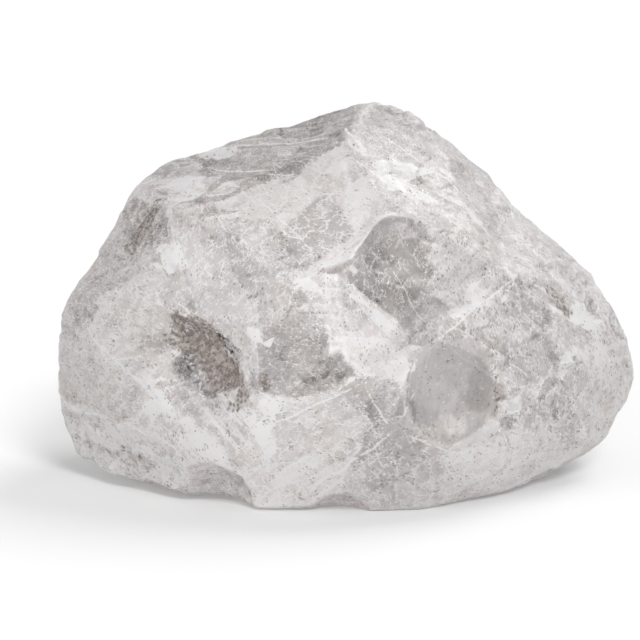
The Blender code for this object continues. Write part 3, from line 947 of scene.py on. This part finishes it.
    def finish_values(self, cad: CadStone) -> dict[str, np.ndarray]:
        """Works out how each point of the skin is finished.

        The told faces share out their values by face_shares. Where no told face is near, a cell
        pattern on direction and place gives each side of the stone its own values.

        Args:
            cad: The CAD stone.

        Returns:
            Arrays named light, frost, chips, streak, owner and edge, and the marks'.
        """
        points = self.surface.points
        normals = unit(self.surface.averaged(self.surface.normals(), self.facing_rounds))
        seats = [cad.seat(face.spot, face.reach / 2.0) for face in FACES]
        shares, lowest, edge = self.face_shares(normals, seats)
        known = ramp(lowest, *self.told_fade)
        lots = normals * self.lot_turn + points / self.lot_size
        _, lot = chip_pattern(lots, 1.0, self.seed + 90)
        _, other = chip_pattern(lots, 0.8, self.seed + 95)
        plain = {
            "light": 0.55 + 0.2 * lot,
            "frost": 0.3 + 0.6 * other,
            "chips": 0.4 + 0.7 * other,
            "streak": 0.6 * ramp(lot, 0.5, 1.0),
        }
        told = {
            "light": [face.tone.value for face in FACES],
            "frost": [face.grade.frost for face in FACES],
            "chips": [face.grade.chips for face in FACES],
            "streak": [face.streaks for face in FACES],
        }
        values = {}
        for name, row in told.items():
            values[name] = shares @ np.array(row) * known + plain[name] * (1.0 - known)
        sides = spread_directions(self.side_count)
        axes = [plane_axes(seat.towards, face.lie) for face, seat in zip(FACES, seats)]
        axes += [plane_axes(side, 0.0) for side in sides]
        self.runs, self.rises = np.swapaxes(np.array(axes), 0, 1)
        plain_owner = len(FACES) + (normals @ sides.T).argmax(axis=1)
        values["owner"] = np.where(known > 0.5, shares.argmax(axis=1), plain_owner)
        values["edge"] = edge * known
        self.add_marks(values, cad)
        return values

    def stripe_places(self, owners: np.ndarray) -> tuple[np.ndarray, np.ndarray]:
        """Says how far along and across its face's stripes each patch's corners lie.

        A patch belongs to the face or side that owns its first corner, and each face counts from
        a start of its own, so that no pattern runs on from one face to the next.

        Args:
            owners: The number of the face or side of each point.

        Returns:
            The ways along and across, one for each corner of each patch.
        """
        corners = self.surface.points[self.surface.quads]
        owner = owners[self.surface.quads[:, 0]]
        start = self.stripe_gap * owner[:, None]
        along = np.einsum("pcx,px->pc", corners, self.runs[owner]) + start
        across = np.einsum("pcx,px->pc", corners, self.rises[owner]) + start
        return along.ravel(), across.ravel()

    def add_marks(self, values: dict[str, np.ndarray], cad: CadStone) -> None:
        """Puts the white marks, crushed quartz and painted glints, and the clean, dim and stained marks
        into the values.

        Each kind keeps the strongest of its marks. A clean break loses most of its frost and chips,
        and the white marks, crushed quartz and painted glints alike, gain some chips.

        Args:
            values: The faces' values, which gain white, clean, dim and iron.
            cad: The CAD stone.
        """
        points = self.surface.points
        for effect in Effect:
            values[effect.value] = np.zeros(len(points))
        for number, mark in enumerate(MARKS):
            cover = mark.cover(points, cad.seat(mark.spot, MARK_REACH), self.seed + 200 + 5 * number)
            values[mark.effect.value] = np.maximum(values[mark.effect.value], cover)
        left = 1.0 - values["clean"]
        values["frost"] = values["frost"] * (0.1 + 0.9 * left)
        values["chips"] = values["chips"] * (0.05 + 0.95 * left) + 0.3 * values["white"]

    def crests(self, rounds: int) -> np.ndarray:
        """Says how far each point stands out from the mean of its neighbourhood.

        Args:
            rounds: How many times the skin is averaged.

        Returns:
            The distance along the normal, positive on ridges and negative in creases.
        """
        mean = self.surface.averaged(self.surface.points, rounds)
        return ((self.surface.points - mean) * self.surface.normals()).sum(axis=1)

    def raise_relief(self, values: dict[str, np.ndarray]) -> None:
        """Lifts the chips, flakes, grain and grooves out of the skin along its normals.

        The height is the tilted planes of chips and flakes times the face's chip share, plus the
        grain's times its frost, minus the grooves' ridged noise times its stripes, plus rings of
        ripples on the clean breaks. It fades to nothing at the sole.

        Args:
            values: What finish_values gave.
        """
        points = self.surface.averaged(self.surface.points, 1)
        normals = Surface(points, self.surface.quads).normals()
        sway = [layered_noise(points, self.sway_size, self.seed + axis, 2) for axis in range(3)]
        bent = points + self.sway_width * np.stack(sway, axis=1)
        large, shard = chip_pattern(bent, self.chip_size, self.seed + 10)
        values["shard"] = shard
        middle, _ = chip_pattern(bent, self.flake_size, self.seed + 20)
        small, _ = chip_pattern(bent, self.grain_size, self.seed + 40)
        along = (points * self.runs[values["owner"]]).sum(axis=1)
        across = (points * self.rises[values["owner"]]).sum(axis=1)
        striped = np.stack([along / self.stretch, across, np.zeros(len(points))], axis=1)
        grooves = np.abs(layered_noise(striped, self.groove_size, self.seed + 30, 3))
        knock = np.linalg.norm(points - np.array(self.ripple_middle), axis=1)
        ripples = np.sin(knock * 2.0 * math.pi / self.ripple_length)
        height = self.chip_height * values["chips"] * large
        height += self.flake_height * values["chips"] * middle
        height += self.grain_height * (0.1 + values["frost"]) * small
        height -= self.groove_height * values["streak"] * (grooves - self.groove_level)
        height += self.ripple_height * values["clean"] * ripples
        height *= ramp(points[:, 2], 0.0, self.sole_margin)
        moved = points + normals * height[:, None]
        moved[:, 2] = np.maximum(moved[:, 2], 0.0)
        moved[self.surface.points[:, 2] < self.sole_height, 2] = 0.0
        self.surface = Surface(moved, self.surface.quads)

    def build(
        self, stone: bpy.types.Object, cad: CadStone, material: bpy.types.Material
    ) -> bpy.types.Object:
        """Builds the skin over the CAD stone and dresses it.

        Args:
            stone: The CAD node that the skin stands for.
            cad: The same stone, for asking what lies behind a spot.
            material: The quartz.

        Returns:
            The skin's object.
        """
        self.lay_on(stone)
        values = self.finish_values(cad)
        values["along"], values["across"] = self.stripe_places(values["owner"])
        values["crest"] = self.crests(self.crest_rounds)
        self.raise_relief(values)
        values["nick"] = self.crests(self.nick_rounds)
        mesh = quad_mesh("quartz_skin", self.surface.points, self.surface.quads)
        for name in KEPT:
            set_value(mesh, name, values[name])
        mesh.materials.append(material)
        return add_object("quartz_skin", mesh)


# ---------------------------------------------------------------------------------------------
# The quartz itself
# ---------------------------------------------------------------------------------------------


class Clouds(Enum):
    """Cloud patterns: lumps in a millimetre, finer layers, and the strength of each finer layer."""

    BROAD = (0.16, 3.0, 0.6)
    WISPS = (0.7, 3.0, 0.65)
    STRIPES = (0.8, 3.0, 0.6)
    THREADS = (0.33, 3.0, 0.5)
    HUES = (0.09, 2.0, 0.5)
    BLOTS = (0.8, 3.0, 0.7)
    CLUMPS = (0.5, 2.0, 0.6)
    SWAY = (0.22, 3.0, 0.5)
    SUGAR = (2.8, 2.0, 0.9)


@dataclass
class Bench:
    """Lays out shader nodes in one tree, in the short words that the finishes use.

    Attributes:
        tree: The node tree that is being filled.
    """

    tree: bpy.types.NodeTree

    def put(
        self, kind: str, links: dict[str | int, object] | None = None, **settings: object
    ) -> bpy.types.Node:
        """Adds a node, sets its properties and plugs its inputs.

        Args:
            kind: Blender's name of the node type, without ShaderNode.
            links: Inputs by name or number, and what feeds each: a socket or a plain value.
            settings: Properties of the node.

        Returns:
            The node.
        """
        node = self.tree.nodes.new(kind if kind.startswith("NodeGroup") else "ShaderNode" + kind)
        for name, value in settings.items():
            setattr(node, name, value)
        for key, value in (links or {}).items():
            if isinstance(value, bpy.types.NodeSocket):
                self.tree.links.new(value, node.inputs[key])
            else:
                node.inputs[key].default_value = value
        return node

    def math(self, operation: str, *values: Value, clamp: bool = False) -> Socket:
        """Adds a Math node with the given operation and gives its result."""
        node = self.put("Math", dict(enumerate(values)), operation=operation, use_clamp=clamp)
        return node.outputs[0]

    def times(self, first: Value, second: Value) -> Socket:
        """Multiplies two values."""
        return self.math("MULTIPLY", first, second)

    def plus(self, base: Value, value: Value) -> Socket:
        """Adds two values."""
        return self.math("ADD", base, value)

    def piled(self, base: Value, *layers: tuple[Value, Value]) -> Socket:
        """Adds layers to a base, one after another.

        Args:
            base: What they are laid on.
            layers: For each, a value and its strength, which are multiplied.

        Returns:
            The sum.
        """
        for value, strength in layers:
            base = self.math("MULTIPLY_ADD", value, strength, base)
        return base

    def vector(self, operation: str, *values: Socket | tuple) -> bpy.types.Node:
        """Adds a Vector Math node with the given operation."""
        return self.put("VectorMath", dict(enumerate(values)), operation=operation)

    def spread(
        self, value: Socket, low: float, high: float, start: float = 0.0, end: float = 1.0
    ) -> Socket:
        """Maps a value from low and high to start and end along a smooth step."""
        ends = {"Value": value, "From Min": low, "From Max": high, "To Min": start, "To Max": end}
        return self.put("MapRange", ends, interpolation_type="SMOOTHSTEP").outputs[0]

    def centred(self, value: Socket, height: float = 1.0) -> Socket:
        """Turns a value from 0 to 1 into one from minus height to height."""
        return self.times(self.math("SUBTRACT", value, 0.5), 2.0 * height)

    def clouds(self, place: Socket, pattern: Clouds, flat: bool = False) -> Socket:
        """Adds a cloud pattern, flat for two coordinates, and gives its factor, around one half."""
        ends = {"Vector": place, **dict(zip(("Scale", "Detail", "Roughness"), pattern.value))}
        return self.put("TexNoise", ends, noise_dimensions="2D" if flat else "3D").outputs["Fac"]

    def cells(self, place: Socket, scale: float, feature: str = "F1") -> bpy.types.Node:
        """Adds a pattern of flat cells about scattered seeds, so many to a millimetre."""
        ends = {"Vector": place, "Scale": scale}
        return self.put("TexVoronoi", ends, voronoi_dimensions="2D", feature=feature)

    def lots(self, cells: bpy.types.Node) -> bpy.types.NodeOutputs:
        """Gives three numbers from 0 to 1 that each cell keeps all over."""
        return self.put("SeparateColor", {0: cells.outputs["Color"]}).outputs

    def blend(self, share: Socket, first: Socket | tuple, second: Socket | tuple) -> Socket:
        """Mixes two colours by a share and gives the colour."""
        return self.put("Mix", {0: share, 6: first, 7: second}, data_type="RGBA").outputs[2]

    def group(self, tree: bpy.types.NodeTree, links: dict[str, object]) -> bpy.types.Node:
        """Places a node group and plugs its inputs."""
        return self.put("Group", links, node_tree=tree)


def new_group(
    name: str, inputs: dict[str, str], outputs: tuple[str, ...]
) -> tuple[Bench, bpy.types.NodeOutputs, bpy.types.NodeInputs]:
    """Makes an empty node group with named sockets.

    Args:
        name: The group's name.
        inputs: Names of the inputs, and Float or Vector for each.
        outputs: Names of the outputs, each a Float.

    Returns:
        A bench on the group's tree, the sockets that come in and the sockets that go out.
    """
    tree = bpy.data.node_groups.new(name, "ShaderNodeTree")
    for sockets, way in ((inputs, "INPUT"), (dict.fromkeys(outputs, "Float"), "OUTPUT")):
        for socket, kind in sockets.items():
            tree.interface.new_socket(socket, in_out=way, socket_type="NodeSocket" + kind)
    bench = Bench(tree)
    return bench, bench.put("NodeGroupInput").outputs, bench.put("NodeGroupOutput").inputs


def crack_group() -> bpy.types.NodeTree:
    """Makes the group that draws one crack, a thin line where a plane meets the skin.

    The mask is 1 on the plane through Middle square to Across, pushed off by Sway, falls to 0 at
    Width from it, and ends half of Length from Middle.

    Returns:
        The group, with inputs Place, Middle, Across, Sway, Length and Width, and output Mask.
    """
    inputs = dict.fromkeys(("Place", "Middle", "Across"), "Vector")
    inputs.update(dict.fromkeys(("Sway", "Length", "Width"), "Float"))
    bench, start, end = new_group("crack", inputs, ("Mask",))
    way = bench.vector("SUBTRACT", start["Place"], start["Middle"]).outputs[0]
    off = bench.plus(bench.vector("DOT_PRODUCT", way, start["Across"]).outputs["Value"], start["Sway"])
    beside = bench.math("DIVIDE", bench.math("ABSOLUTE", off), start["Width"])
    along = bench.math("DIVIDE", bench.vector("LENGTH", way).outputs["Value"], start["Length"])
    line = bench.times(bench.spread(beside, 1.0, 0.2), bench.spread(along, 0.55, 0.40))
    bench.tree.links.new(line, end["Mask"])
    return bench.tree


def sugar_group() -> bpy.types.NodeTree:
    """Makes the group for the broken, sugary grain of the stone.

    The cells lie in the face's own plane and are drawn out along its stripes. Plates six
    millimetres wide and shards of two each have their own tone. Two nets of healed cracks, one
    wide and one fine, run between straight-sided cells. Small dots and large blobs lie scattered
    about, each with its own numbers from 0 to 1, by which the material picks dark grains and painted
    glints.

    Returns:
        The group, with input Flow and outputs Shard, Grain, Net, Dot, Lot, Glint, Blob, Draw and
        Height.
    """
    names = ("Shard", "Grain", "Net", "Dot", "Lot", "Glint", "Blob", "Draw", "Height")
    bench, start, end = new_group("sugar", {"Flow": "Vector"}, names)
    flow = start["Flow"]
    fine = bench.clouds(flow, Clouds.SUGAR, flat=True)
    shift = bench.vector("SCALE", SUGAR_BEND)
    bench.tree.links.new(fine, shift.inputs["Scale"])
    bent = bench.vector("ADD", flow, shift.outputs[0]).outputs[0]
    drawn_out = bench.vector("MULTIPLY", flow, SHARD_STRETCH).outputs[0]
    plate, shard, grain = (
        bench.lots(bench.cells(place, scale))[0]
        for place, scale in ((drawn_out, PLATE_SCALE), (drawn_out, SHARD_SCALE), (bent, GRAIN_SCALE))
    )
    wide, narrow = (
        bench.spread(bench.cells(bent, scale, "DISTANCE_TO_EDGE").outputs["Distance"], width, width / 4.0)
        for scale, width in NETS
    )
    dots, blobs = bench.cells(bent, DOT_SCALE), bench.cells(bent, BLOB_SCALE)
    lots = bench.lots(dots)
    ends = {
        "Dot": bench.spread(dots.outputs["Distance"], 0.50, 0.30),
        "Lot": lots[0],
        "Glint": lots[1],
        "Blob": bench.spread(blobs.outputs["Distance"], 0.60, 0.35),
        "Draw": bench.lots(blobs)[0],
        "Shard": bench.plus(bench.centred(plate, 1.2), bench.centred(shard, 0.8)),
        "Grain": bench.piled(bench.centred(grain, 0.5), (bench.centred(fine), 1.7)),
        "Net": bench.math("MAXIMUM", wide, narrow),
        "Height": bench.piled(fine, (grain, 0.8)),
    }
    for name, value in ends.items():
        bench.tree.links.new(value, end[name])
    return bench.tree


def grey(level: float) -> Colour:
    """Gives an even grey.

    Args:
        level: How pale it is, from 0 to 1.

    Returns:
        The colour.
    """
    return (level, level, level, 1.0)


@dataclass(frozen=True)
class QuartzFinish:
    """Clear quartz under a satin, frosted and partly crushed skin.

    Strengths are what a pattern at its full height adds to the tone, which goes from 0 to 1.

    Attributes:
        ior: How strongly it bends light.
        clearness: Share of the light that passes through.
        haze_colour: What colour the inside keeps.
        haze_density: How much light the inside takes, per metre.
        warm: Tint of its warm parts.
        cool: Tint of its cool parts.
        speck_colour: The dark grains.
        speck_cover: How fully they hide the stone.
        iron_colour: The brown of the stains.
        iron_cover: How fully it hides the stone.
        clear_rough: Roughness of a clear face.
        frost_gloss: How much less rough full frost is, whose grains each have a glint.
        bump: Height of the sugar grain's bump.
        cloud: Strength of broad clouds.
        chip: Strength of the chips' own tones.
        haze: Strength of wisps.
        plate: Strength of plates and shards.
        clean_loss: How much weaker those are on a clean break.
        soft_stripe: Strength of soft stripes.
        thread: Strength of bright threads.
        grain: Strength of the sugar grain on a clear face.
        frost_grain: What full frost adds to that.
        dimming: How much a darker spot takes away, where the stone is clear and as painted shade across
            the window.
        worn_edge: Strength of worn edges.
        painted_crest_highlight: Strength of the highlight painted on small crests.
        painted_crease_shade: How much painted shade darkens small creases.
        line: Strength of healed cracks and nets.
        crushed: Tone of crushed quartz and of the painted glints.
    """

    ior: float = 1.544
    clearness: float = 0.68
    haze_colour: Colour = (0.80, 0.79, 0.80, 1.0)
    haze_density: float = 5.0
    warm: Colour = (1.0, 0.930, 0.885, 1.0)
    cool: Colour = (1.0, 0.945, 0.955, 1.0)
    speck_colour: Colour = (0.07, 0.05, 0.04, 1.0)
    speck_cover: float = 0.85
    iron_colour: Colour = (0.36, 0.28, 0.22, 1.0)
    iron_cover: float = 0.5
    clear_rough: float = 0.40
    frost_gloss: float = 0.16
    bump: float = 0.12
    cloud: float = 0.05
    chip: float = 0.03
    haze: float = 0.015
    plate: float = 0.075
    clean_loss: float = 0.05
    soft_stripe: float = 0.07
    thread: float = 0.24
    grain: float = 0.05
    frost_grain: float = 0.12
    dimming: float = 0.30
    worn_edge: float = 0.34
    painted_crest_highlight: float = 0.10
    painted_crease_shade: float = 0.18
    line: float = 0.52
    crushed: float = 0.93


class QuartzBench(Bench):
    """Lays out the quartz's own nodes."""

    def __init__(self, tree: bpy.types.NodeTree, look: QuartzFinish, cad: CadStone) -> None:
        """Lays out the patterns that every part of the finish reads.

        Args:
            tree: The material's node tree.
            look: The finish.
            cad: The CAD stone, on which the cracks sit.
        """
        super().__init__(tree)
        self.look = look
        self.cad = cad
        to_mm = {"Vector": self.put("TexCoord").outputs["Object"], "Scale": (1.0 / MM, 1.0 / MM, 1.0 / MM)}
        self.place = self.put("Mapping", to_mm).outputs[0]
        self.kept = {name: self.put("Attribute", attribute_name=name).outputs["Fac"] for name in KEPT}
        flow = self.put("CombineXYZ", {"X": self.kept["along"], "Y": self.kept["across"]}).outputs[0]
        self.sugar = self.group(sugar_group(), {"Flow": flow}).outputs
        self.drawn_out = self.vector("MULTIPLY", flow, STRIPE_STRETCH).outputs[0]
        stripes = self.clouds(self.drawn_out, Clouds.STRIPES, flat=True)
        self.stripe = self.spread(stripes, 0.42, 0.68, -1.0, 1.0)
        self.wisps = self.clouds(self.place, Clouds.WISPS)
        self.wisp = self.centred(self.wisps)

    def threads(self) -> Socket:
        """Draws the bright threads of striped faces, where drawn-out clouds are near one half.

        Returns:
            The threads' mask.
        """
        cloud = self.clouds(self.drawn_out, Clouds.THREADS, flat=True)
        off = self.math("ABSOLUTE", self.math("SUBTRACT", cloud, 0.5))
        return self.times(self.spread(off, 0.020, 0.004), self.spread(self.kept["streak"], 0.3, 0.8))

    def lines(self) -> Socket:
        """Draws the healed cracks and the nets between grains.

        The crack group is placed once for each crack. The strongest of the cracks' masks, broken
        up by wisps, and the net, denser in dim spots, is kept. Lines fade on a clean break.

        Returns:
            The mask of all lines.
        """
        tree = crack_group()
        sway = self.centred(self.clouds(self.place, Clouds.SWAY), CRACK_SWAY)
        masks = []
        for crack in CRACKS:
            seat = self.cad.seat(crack.spot, MARK_REACH)
            _, across = plane_axes(seat.towards, crack.turn)
            links = {"Place": self.place, "Middle": tuple(seat.place), "Across": tuple(across)}
            links.update({"Sway": sway, "Length": crack.length, "Width": crack.width})
            masks.append(self.group(tree, links).outputs["Mask"])
        strongest = functools.reduce(functools.partial(self.math, "MAXIMUM"), masks)
        cracks = self.times(strongest, self.spread(self.wisps, 0.32, 0.46))
        net = self.times(self.sugar["Net"], self.spread(self.wisp, -0.12, 0.06))
        net = self.times(net, self.piled(0.6, (self.kept["dim"], 0.7)))
        return self.times(self.math("MAXIMUM", cracks, net), self.piled(1.0, (self.kept["clean"], -0.8)))

    def ground(self) -> Socket:
        """Works out the tone of a face before its edges, cracks and flecks.

        It is the face's light, plus clouds, plates, stripes, threads and grain, each times its own
        strength, less the dimming of the darker spots, which are clear stone and, across the window,
        painted shade.

        Returns:
            The tone.
        """
        look, kept = self.look, self.kept
        broad = self.clouds(self.place, Clouds.BROAD)
        level = self.plus(kept["light"], self.centred(broad, look.cloud))
        level = self.plus(level, self.centred(kept["shard"], look.chip))
        return self.piled(
            level,
            (self.wisp, look.haze),
            (self.sugar["Shard"], self.piled(look.plate, (kept["clean"], -look.clean_loss))),
            (self.times(self.stripe, kept["streak"]), look.soft_stripe),
            (self.threads(), look.thread),
            (self.sugar["Grain"], self.piled(look.grain, (kept["frost"], look.frost_grain))),
            (kept["dim"], -look.dimming),
        )

    def worn(self, level: Socket) -> Socket:
        """Whitens worn edges and cracks, paints a highlight on small crests and paints shade into small
        creases.

        Args:
            level: The tone before it.

        Returns:
            The tone.
        """
        edge = self.spread(self.piled(self.kept["edge"], (self.wisp, 0.35)), 0.35, 0.95)
        edge = self.times(edge, self.spread(self.kept["crest"], 0.0, 0.04))
        level = self.piled(level, (edge, self.look.worn_edge))
        # Painted highlight on small crests and painted shade in small creases, from how far each point
        # stands out.
        nick = self.piled(self.kept["nick"], (self.wisp, 0.02))
        level = self.plus(level, self.spread(nick, 0.03, 0.07, 0.0, self.look.painted_crest_highlight))
        level = self.plus(level, self.spread(nick, -0.02, -0.08, 0.0, -self.look.painted_crease_shade))
        return self.piled(level, (self.lines(), self.look.line))

    def crush(self, level: Socket) -> Socket:
        """Whitens crushed quartz and the painted glints, which keep a little of the tone, shards and
        stripes below them.

        Args:
            level: The tone before it.

        Returns:
            The tone.
        """
        shard, grain, white = self.sugar["Shard"], self.sugar["Grain"], self.kept["white"]
        # The white laid here is crushed quartz and, in the glint marks, a painted highlight.
        broken = self.piled(white, (self.wisp, 0.15), (grain, 0.1), (shard, 0.4))
        cover = self.times(self.spread(broken, 0.3, 0.9), self.spread(white, 0.0, 0.6))
        lift = self.piled(self.look.crushed, (level, -0.85), (shard, 0.05), (self.stripe, 0.03))
        return self.piled(level, (cover, lift))

    def tone(self) -> Socket:
        """Works out how pale the skin is, and lays painted glints, small bright flecks, on it.

        The dots whose lot, with frost, edges and wisps, is high enough are the painted glints.

        Returns:
            The tone, from 0 to 1.
        """
        frost = self.kept["frost"]
        luck = self.piled(self.sugar["Glint"], (frost, 0.16), (self.kept["edge"], 0.15), (self.wisp, 0.5))
        # Painted glints: small bright flecks laid into the colour.
        glint_fleck = self.times(self.spread(luck, 0.92, 1.04), self.sugar["Dot"])
        glint_fleck = self.times(glint_fleck, self.piled(0.4, (frost, 0.6)))
        return self.math("ADD", self.crush(self.worn(self.ground())), glint_fleck, clamp=True)

    def tinted(self, tone: Socket) -> Socket:
        """Turns the tone into warm and cool greys that fade to plain white.

        Args:
            tone: How pale the skin is.

        Returns:
            The colour.
        """
        tints = (self.look.warm, self.look.cool, grey(1.0))
        warm, cool, white = (self.blend(tone, grey(0.0), tint) for tint in tints)
        hue = self.spread(self.clouds(self.place, Clouds.HUES), 0.38, 0.56)
        return self.blend(self.spread(tone, 0.75, 1.0), self.blend(hue, warm, cool), white)

    def stained(self, colour: Socket) -> Socket:
        """Lays brown iron blots and dark grains on the colour.

        Dots and blobs whose lot is high enough are dark, and more of them are dark in iron.

        Args:
            colour: The colour before it.

        Returns:
            The colour.
        """
        look, sugar, iron = self.look, self.sugar, self.kept["iron"]
        blot = self.piled(iron, (self.centred(self.clouds(self.place, Clouds.BLOTS)), 1.2))
        blot = self.times(self.spread(blot, 0.2, 1.0), self.spread(iron, 0.05, 0.5))
        colour = self.blend(self.times(blot, look.iron_cover), colour, look.iron_colour)
        clump = self.centred(self.clouds(self.place, Clouds.CLUMPS), 0.6)
        lot = self.plus(clump, self.piled(sugar["Lot"], (self.kept["frost"], 0.10), (blot, 0.18)))
        draw = self.plus(clump, self.piled(sugar["Draw"], (blot, 0.8)))
        dots = self.times(self.spread(lot, 0.93, 1.09), sugar["Dot"])
        blobs = self.times(self.spread(draw, 1.0, 1.25), sugar["Blob"])
        cover = self.times(self.math("MAXIMUM", dots, blobs), look.speck_cover)
        return self.blend(cover, colour, look.speck_colour)


def quartz_material(look: QuartzFinish, cad: CadStone) -> bpy.types.Material:
    """Makes the quartz.

    Plain transmission and an even haze inside make it clear. On the skin, the tone's grey is
    tinted and stained, and frost sharpens the gloss of the grain and raises its fine bump.

    Args:
        look: The finish.
        cad: The CAD stone.

    Returns:
        The material.
    """
    material = bpy.data.materials.new("quartz")
    material.use_nodes = True
    material.node_tree.nodes.clear()
    bench = QuartzBench(material.node_tree, look, cad)
    frost = bench.kept["frost"]
    grain = bench.times(bench.sugar["Height"], bench.piled(0.2, (frost, 0.9)))
    bump = bench.put("Bump", {"Height": grain, "Distance": look.bump * MM, "Strength": 1.0})
    body = bench.put("BsdfPrincipled", {
        "Base Color": bench.stained(bench.tinted(bench.tone())),
        "Roughness": bench.piled(look.clear_rough, (frost, -look.frost_gloss)),
        "Normal": bump.outputs[0],
        "Metallic": 0.0,
        "IOR": look.ior,
        "Transmission Weight": look.clearness,
    })
    haze = bench.put("VolumeAbsorption", {"Color": look.haze_colour, "Density": look.haze_density})
    bench.put("OutputMaterial", {"Surface": body.outputs[0], "Volume": haze.outputs[0]})
    return material


# ---------------------------------------------------------------------------------------------
# The studio
# ---------------------------------------------------------------------------------------------


@dataclass(frozen=True)
class SoftLight:
    """One wide soft light that reaches the stone and the floor evenly.

    Attributes:
        name: The light's name.
        azimuth: Degrees round the upright from the front, positive to the right.
        tilt: Degrees above the level.
        spread: Degrees across, as seen from the stone.
        strength: How strong it is, in watts for a square metre.
        distance: How far from the stone it hangs.
    """

    name: str
    azimuth: float
    tilt: float
    spread: float
    strength: float
    distance: float = 700.0

    def hang(self) -> None:
        """Hangs the light in its place."""
        lamp = bpy.data.lights.new(self.name, "SUN")
        lamp.angle = math.radians(self.spread)
        lamp.energy = self.strength
        stand = add_object(self.name, lamp)
        aim_at(stand, np.array(HEART), facing(self.azimuth, self.tilt), self.distance)


def aim_at(thing: bpy.types.Object, target: np.ndarray, towards: np.ndarray, distance: float) -> None:
    """Stands a lamp or camera off a target and turns it to look there.

    Args:
        thing: The lamp or camera.
        target: What it looks at.
        towards: Unit direction from the target to it.
        distance: How far off it stands.
    """
    thing.location = Vector((target + towards * distance) * MM)
    thing.rotation_euler = Vector(towards).to_track_quat("Z", "Y").to_euler()


@dataclass
class Studio:
    """A pale floor, an even white room, soft lamps and the camera.

    Attributes:
        floor_size: Side of the floor.
        floor_drop: How far it lies below the stone's sole, so that the two never share a plane.
        floor_grey: How pale the floor is.
        floor_glow: How much light the floor gives off, so that it stays white as far as it is seen.
        level_light: Strength of the white room at the level.
        overhead_light: Its strength overhead.
        lamps: The soft lamps.
    """

    floor_size: float = 6000.0
    floor_drop: float = 0.02
    floor_grey: float = 0.55
    floor_glow: float = 0.12
    level_light: float = 1.04
    overhead_light: float = 0.56
    lamps: tuple[SoftLight, ...] = (
        SoftLight("key", 24.0, 46.0, 20.0, 1.9),
        SoftLight("side", -65.0, 30.0, 20.0, 0.5),
        SoftLight("back", 130.0, 50.0, 30.0, 1.8),
    )

    def room(self) -> None:
        """Fills the world with white light that is dimmer overhead."""
        world = bpy.data.worlds.new("white_room")
        world.use_nodes = True
        world.node_tree.nodes.clear()
        bench = Bench(world.node_tree)
        up = bench.put("SeparateXYZ", {0: bench.put("TexCoord").outputs["Generated"]}).outputs["Z"]
        strength = bench.spread(up, 0.1, 0.9, self.level_light, self.overhead_light)
        light = bench.put("Background", {"Color": (1.0, 1.0, 1.0, 1.0), "Strength": strength})
        bench.put("OutputWorld", {"Surface": light.outputs[0]})
        bpy.context.scene.world = world

    def floor(self) -> bpy.types.Object:
        """Lays the floor, a flat grid of two by two patches.

        Returns:
            The floor's object.
        """
        line = np.linspace(-0.5, 0.5, 3) * self.floor_size
        x, y = np.meshgrid(line, line, indexing="ij")
        points = np.stack([x.ravel(), y.ravel(), np.full(x.size, -self.floor_drop)], axis=1)
        start = np.array([0, 1, 3, 4])
        quads = np.stack([start, start + 3, start + 4, start + 1], axis=1)
        mesh = quad_mesh("floor", points, quads)
        material = bpy.data.materials.new("floor_card")
        material.use_nodes = True
        body = material.node_tree.nodes["Principled BSDF"]
        body.inputs["Base Color"].default_value = grey(self.floor_grey)
        body.inputs["Roughness"].default_value = 0.9
        body.inputs["Specular IOR Level"].default_value = 0.2
        body.inputs["Emission Color"].default_value = grey(1.0)
        body.inputs["Emission Strength"].default_value = self.floor_glow
        mesh.materials.append(material)
        return add_object("floor", mesh)

    def camera(self) -> None:
        """Sets up the camera in front of the stone, a little above it."""
        lens = bpy.data.cameras.new("camera")
        lens.lens = VIEW.lens
        lens.sensor_width = VIEW.sensor
        lens.clip_start = 0.01
        camera = add_object("camera", lens)
        aim_at(camera, np.array(VIEW.aim), facing(0.0, VIEW.tilt), VIEW.distance)
        bpy.context.scene.camera = camera

    def build(self) -> None:
        """Sets up the room, the floor, the lamps and the camera."""
        self.room()
        self.floor()
        for lamp in self.lamps:
            lamp.hang()
        self.camera()
        bpy.context.scene.view_settings.view_transform = "Standard"


def main() -> None:
    """Builds the stone and its studio in order, and reports each."""
    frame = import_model()
    node = frame["nodes"]["quartz"]
    cad = CadStone(node)
    stone = QuartzSkin().build(node, cad, quartz_material(QuartzFinish(), cad))
    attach(stone, "root")
    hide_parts("quartz")
    LOG.info("skin: %d patches", len(stone.data.polygons))
    studio = Studio()
    studio.build()
    LOG.info("studio: %d lamps", len(studio.lamps))


if __name__ == "__main__":
    logging.basicConfig(level=logging.INFO, format="%(message)s")
    main()
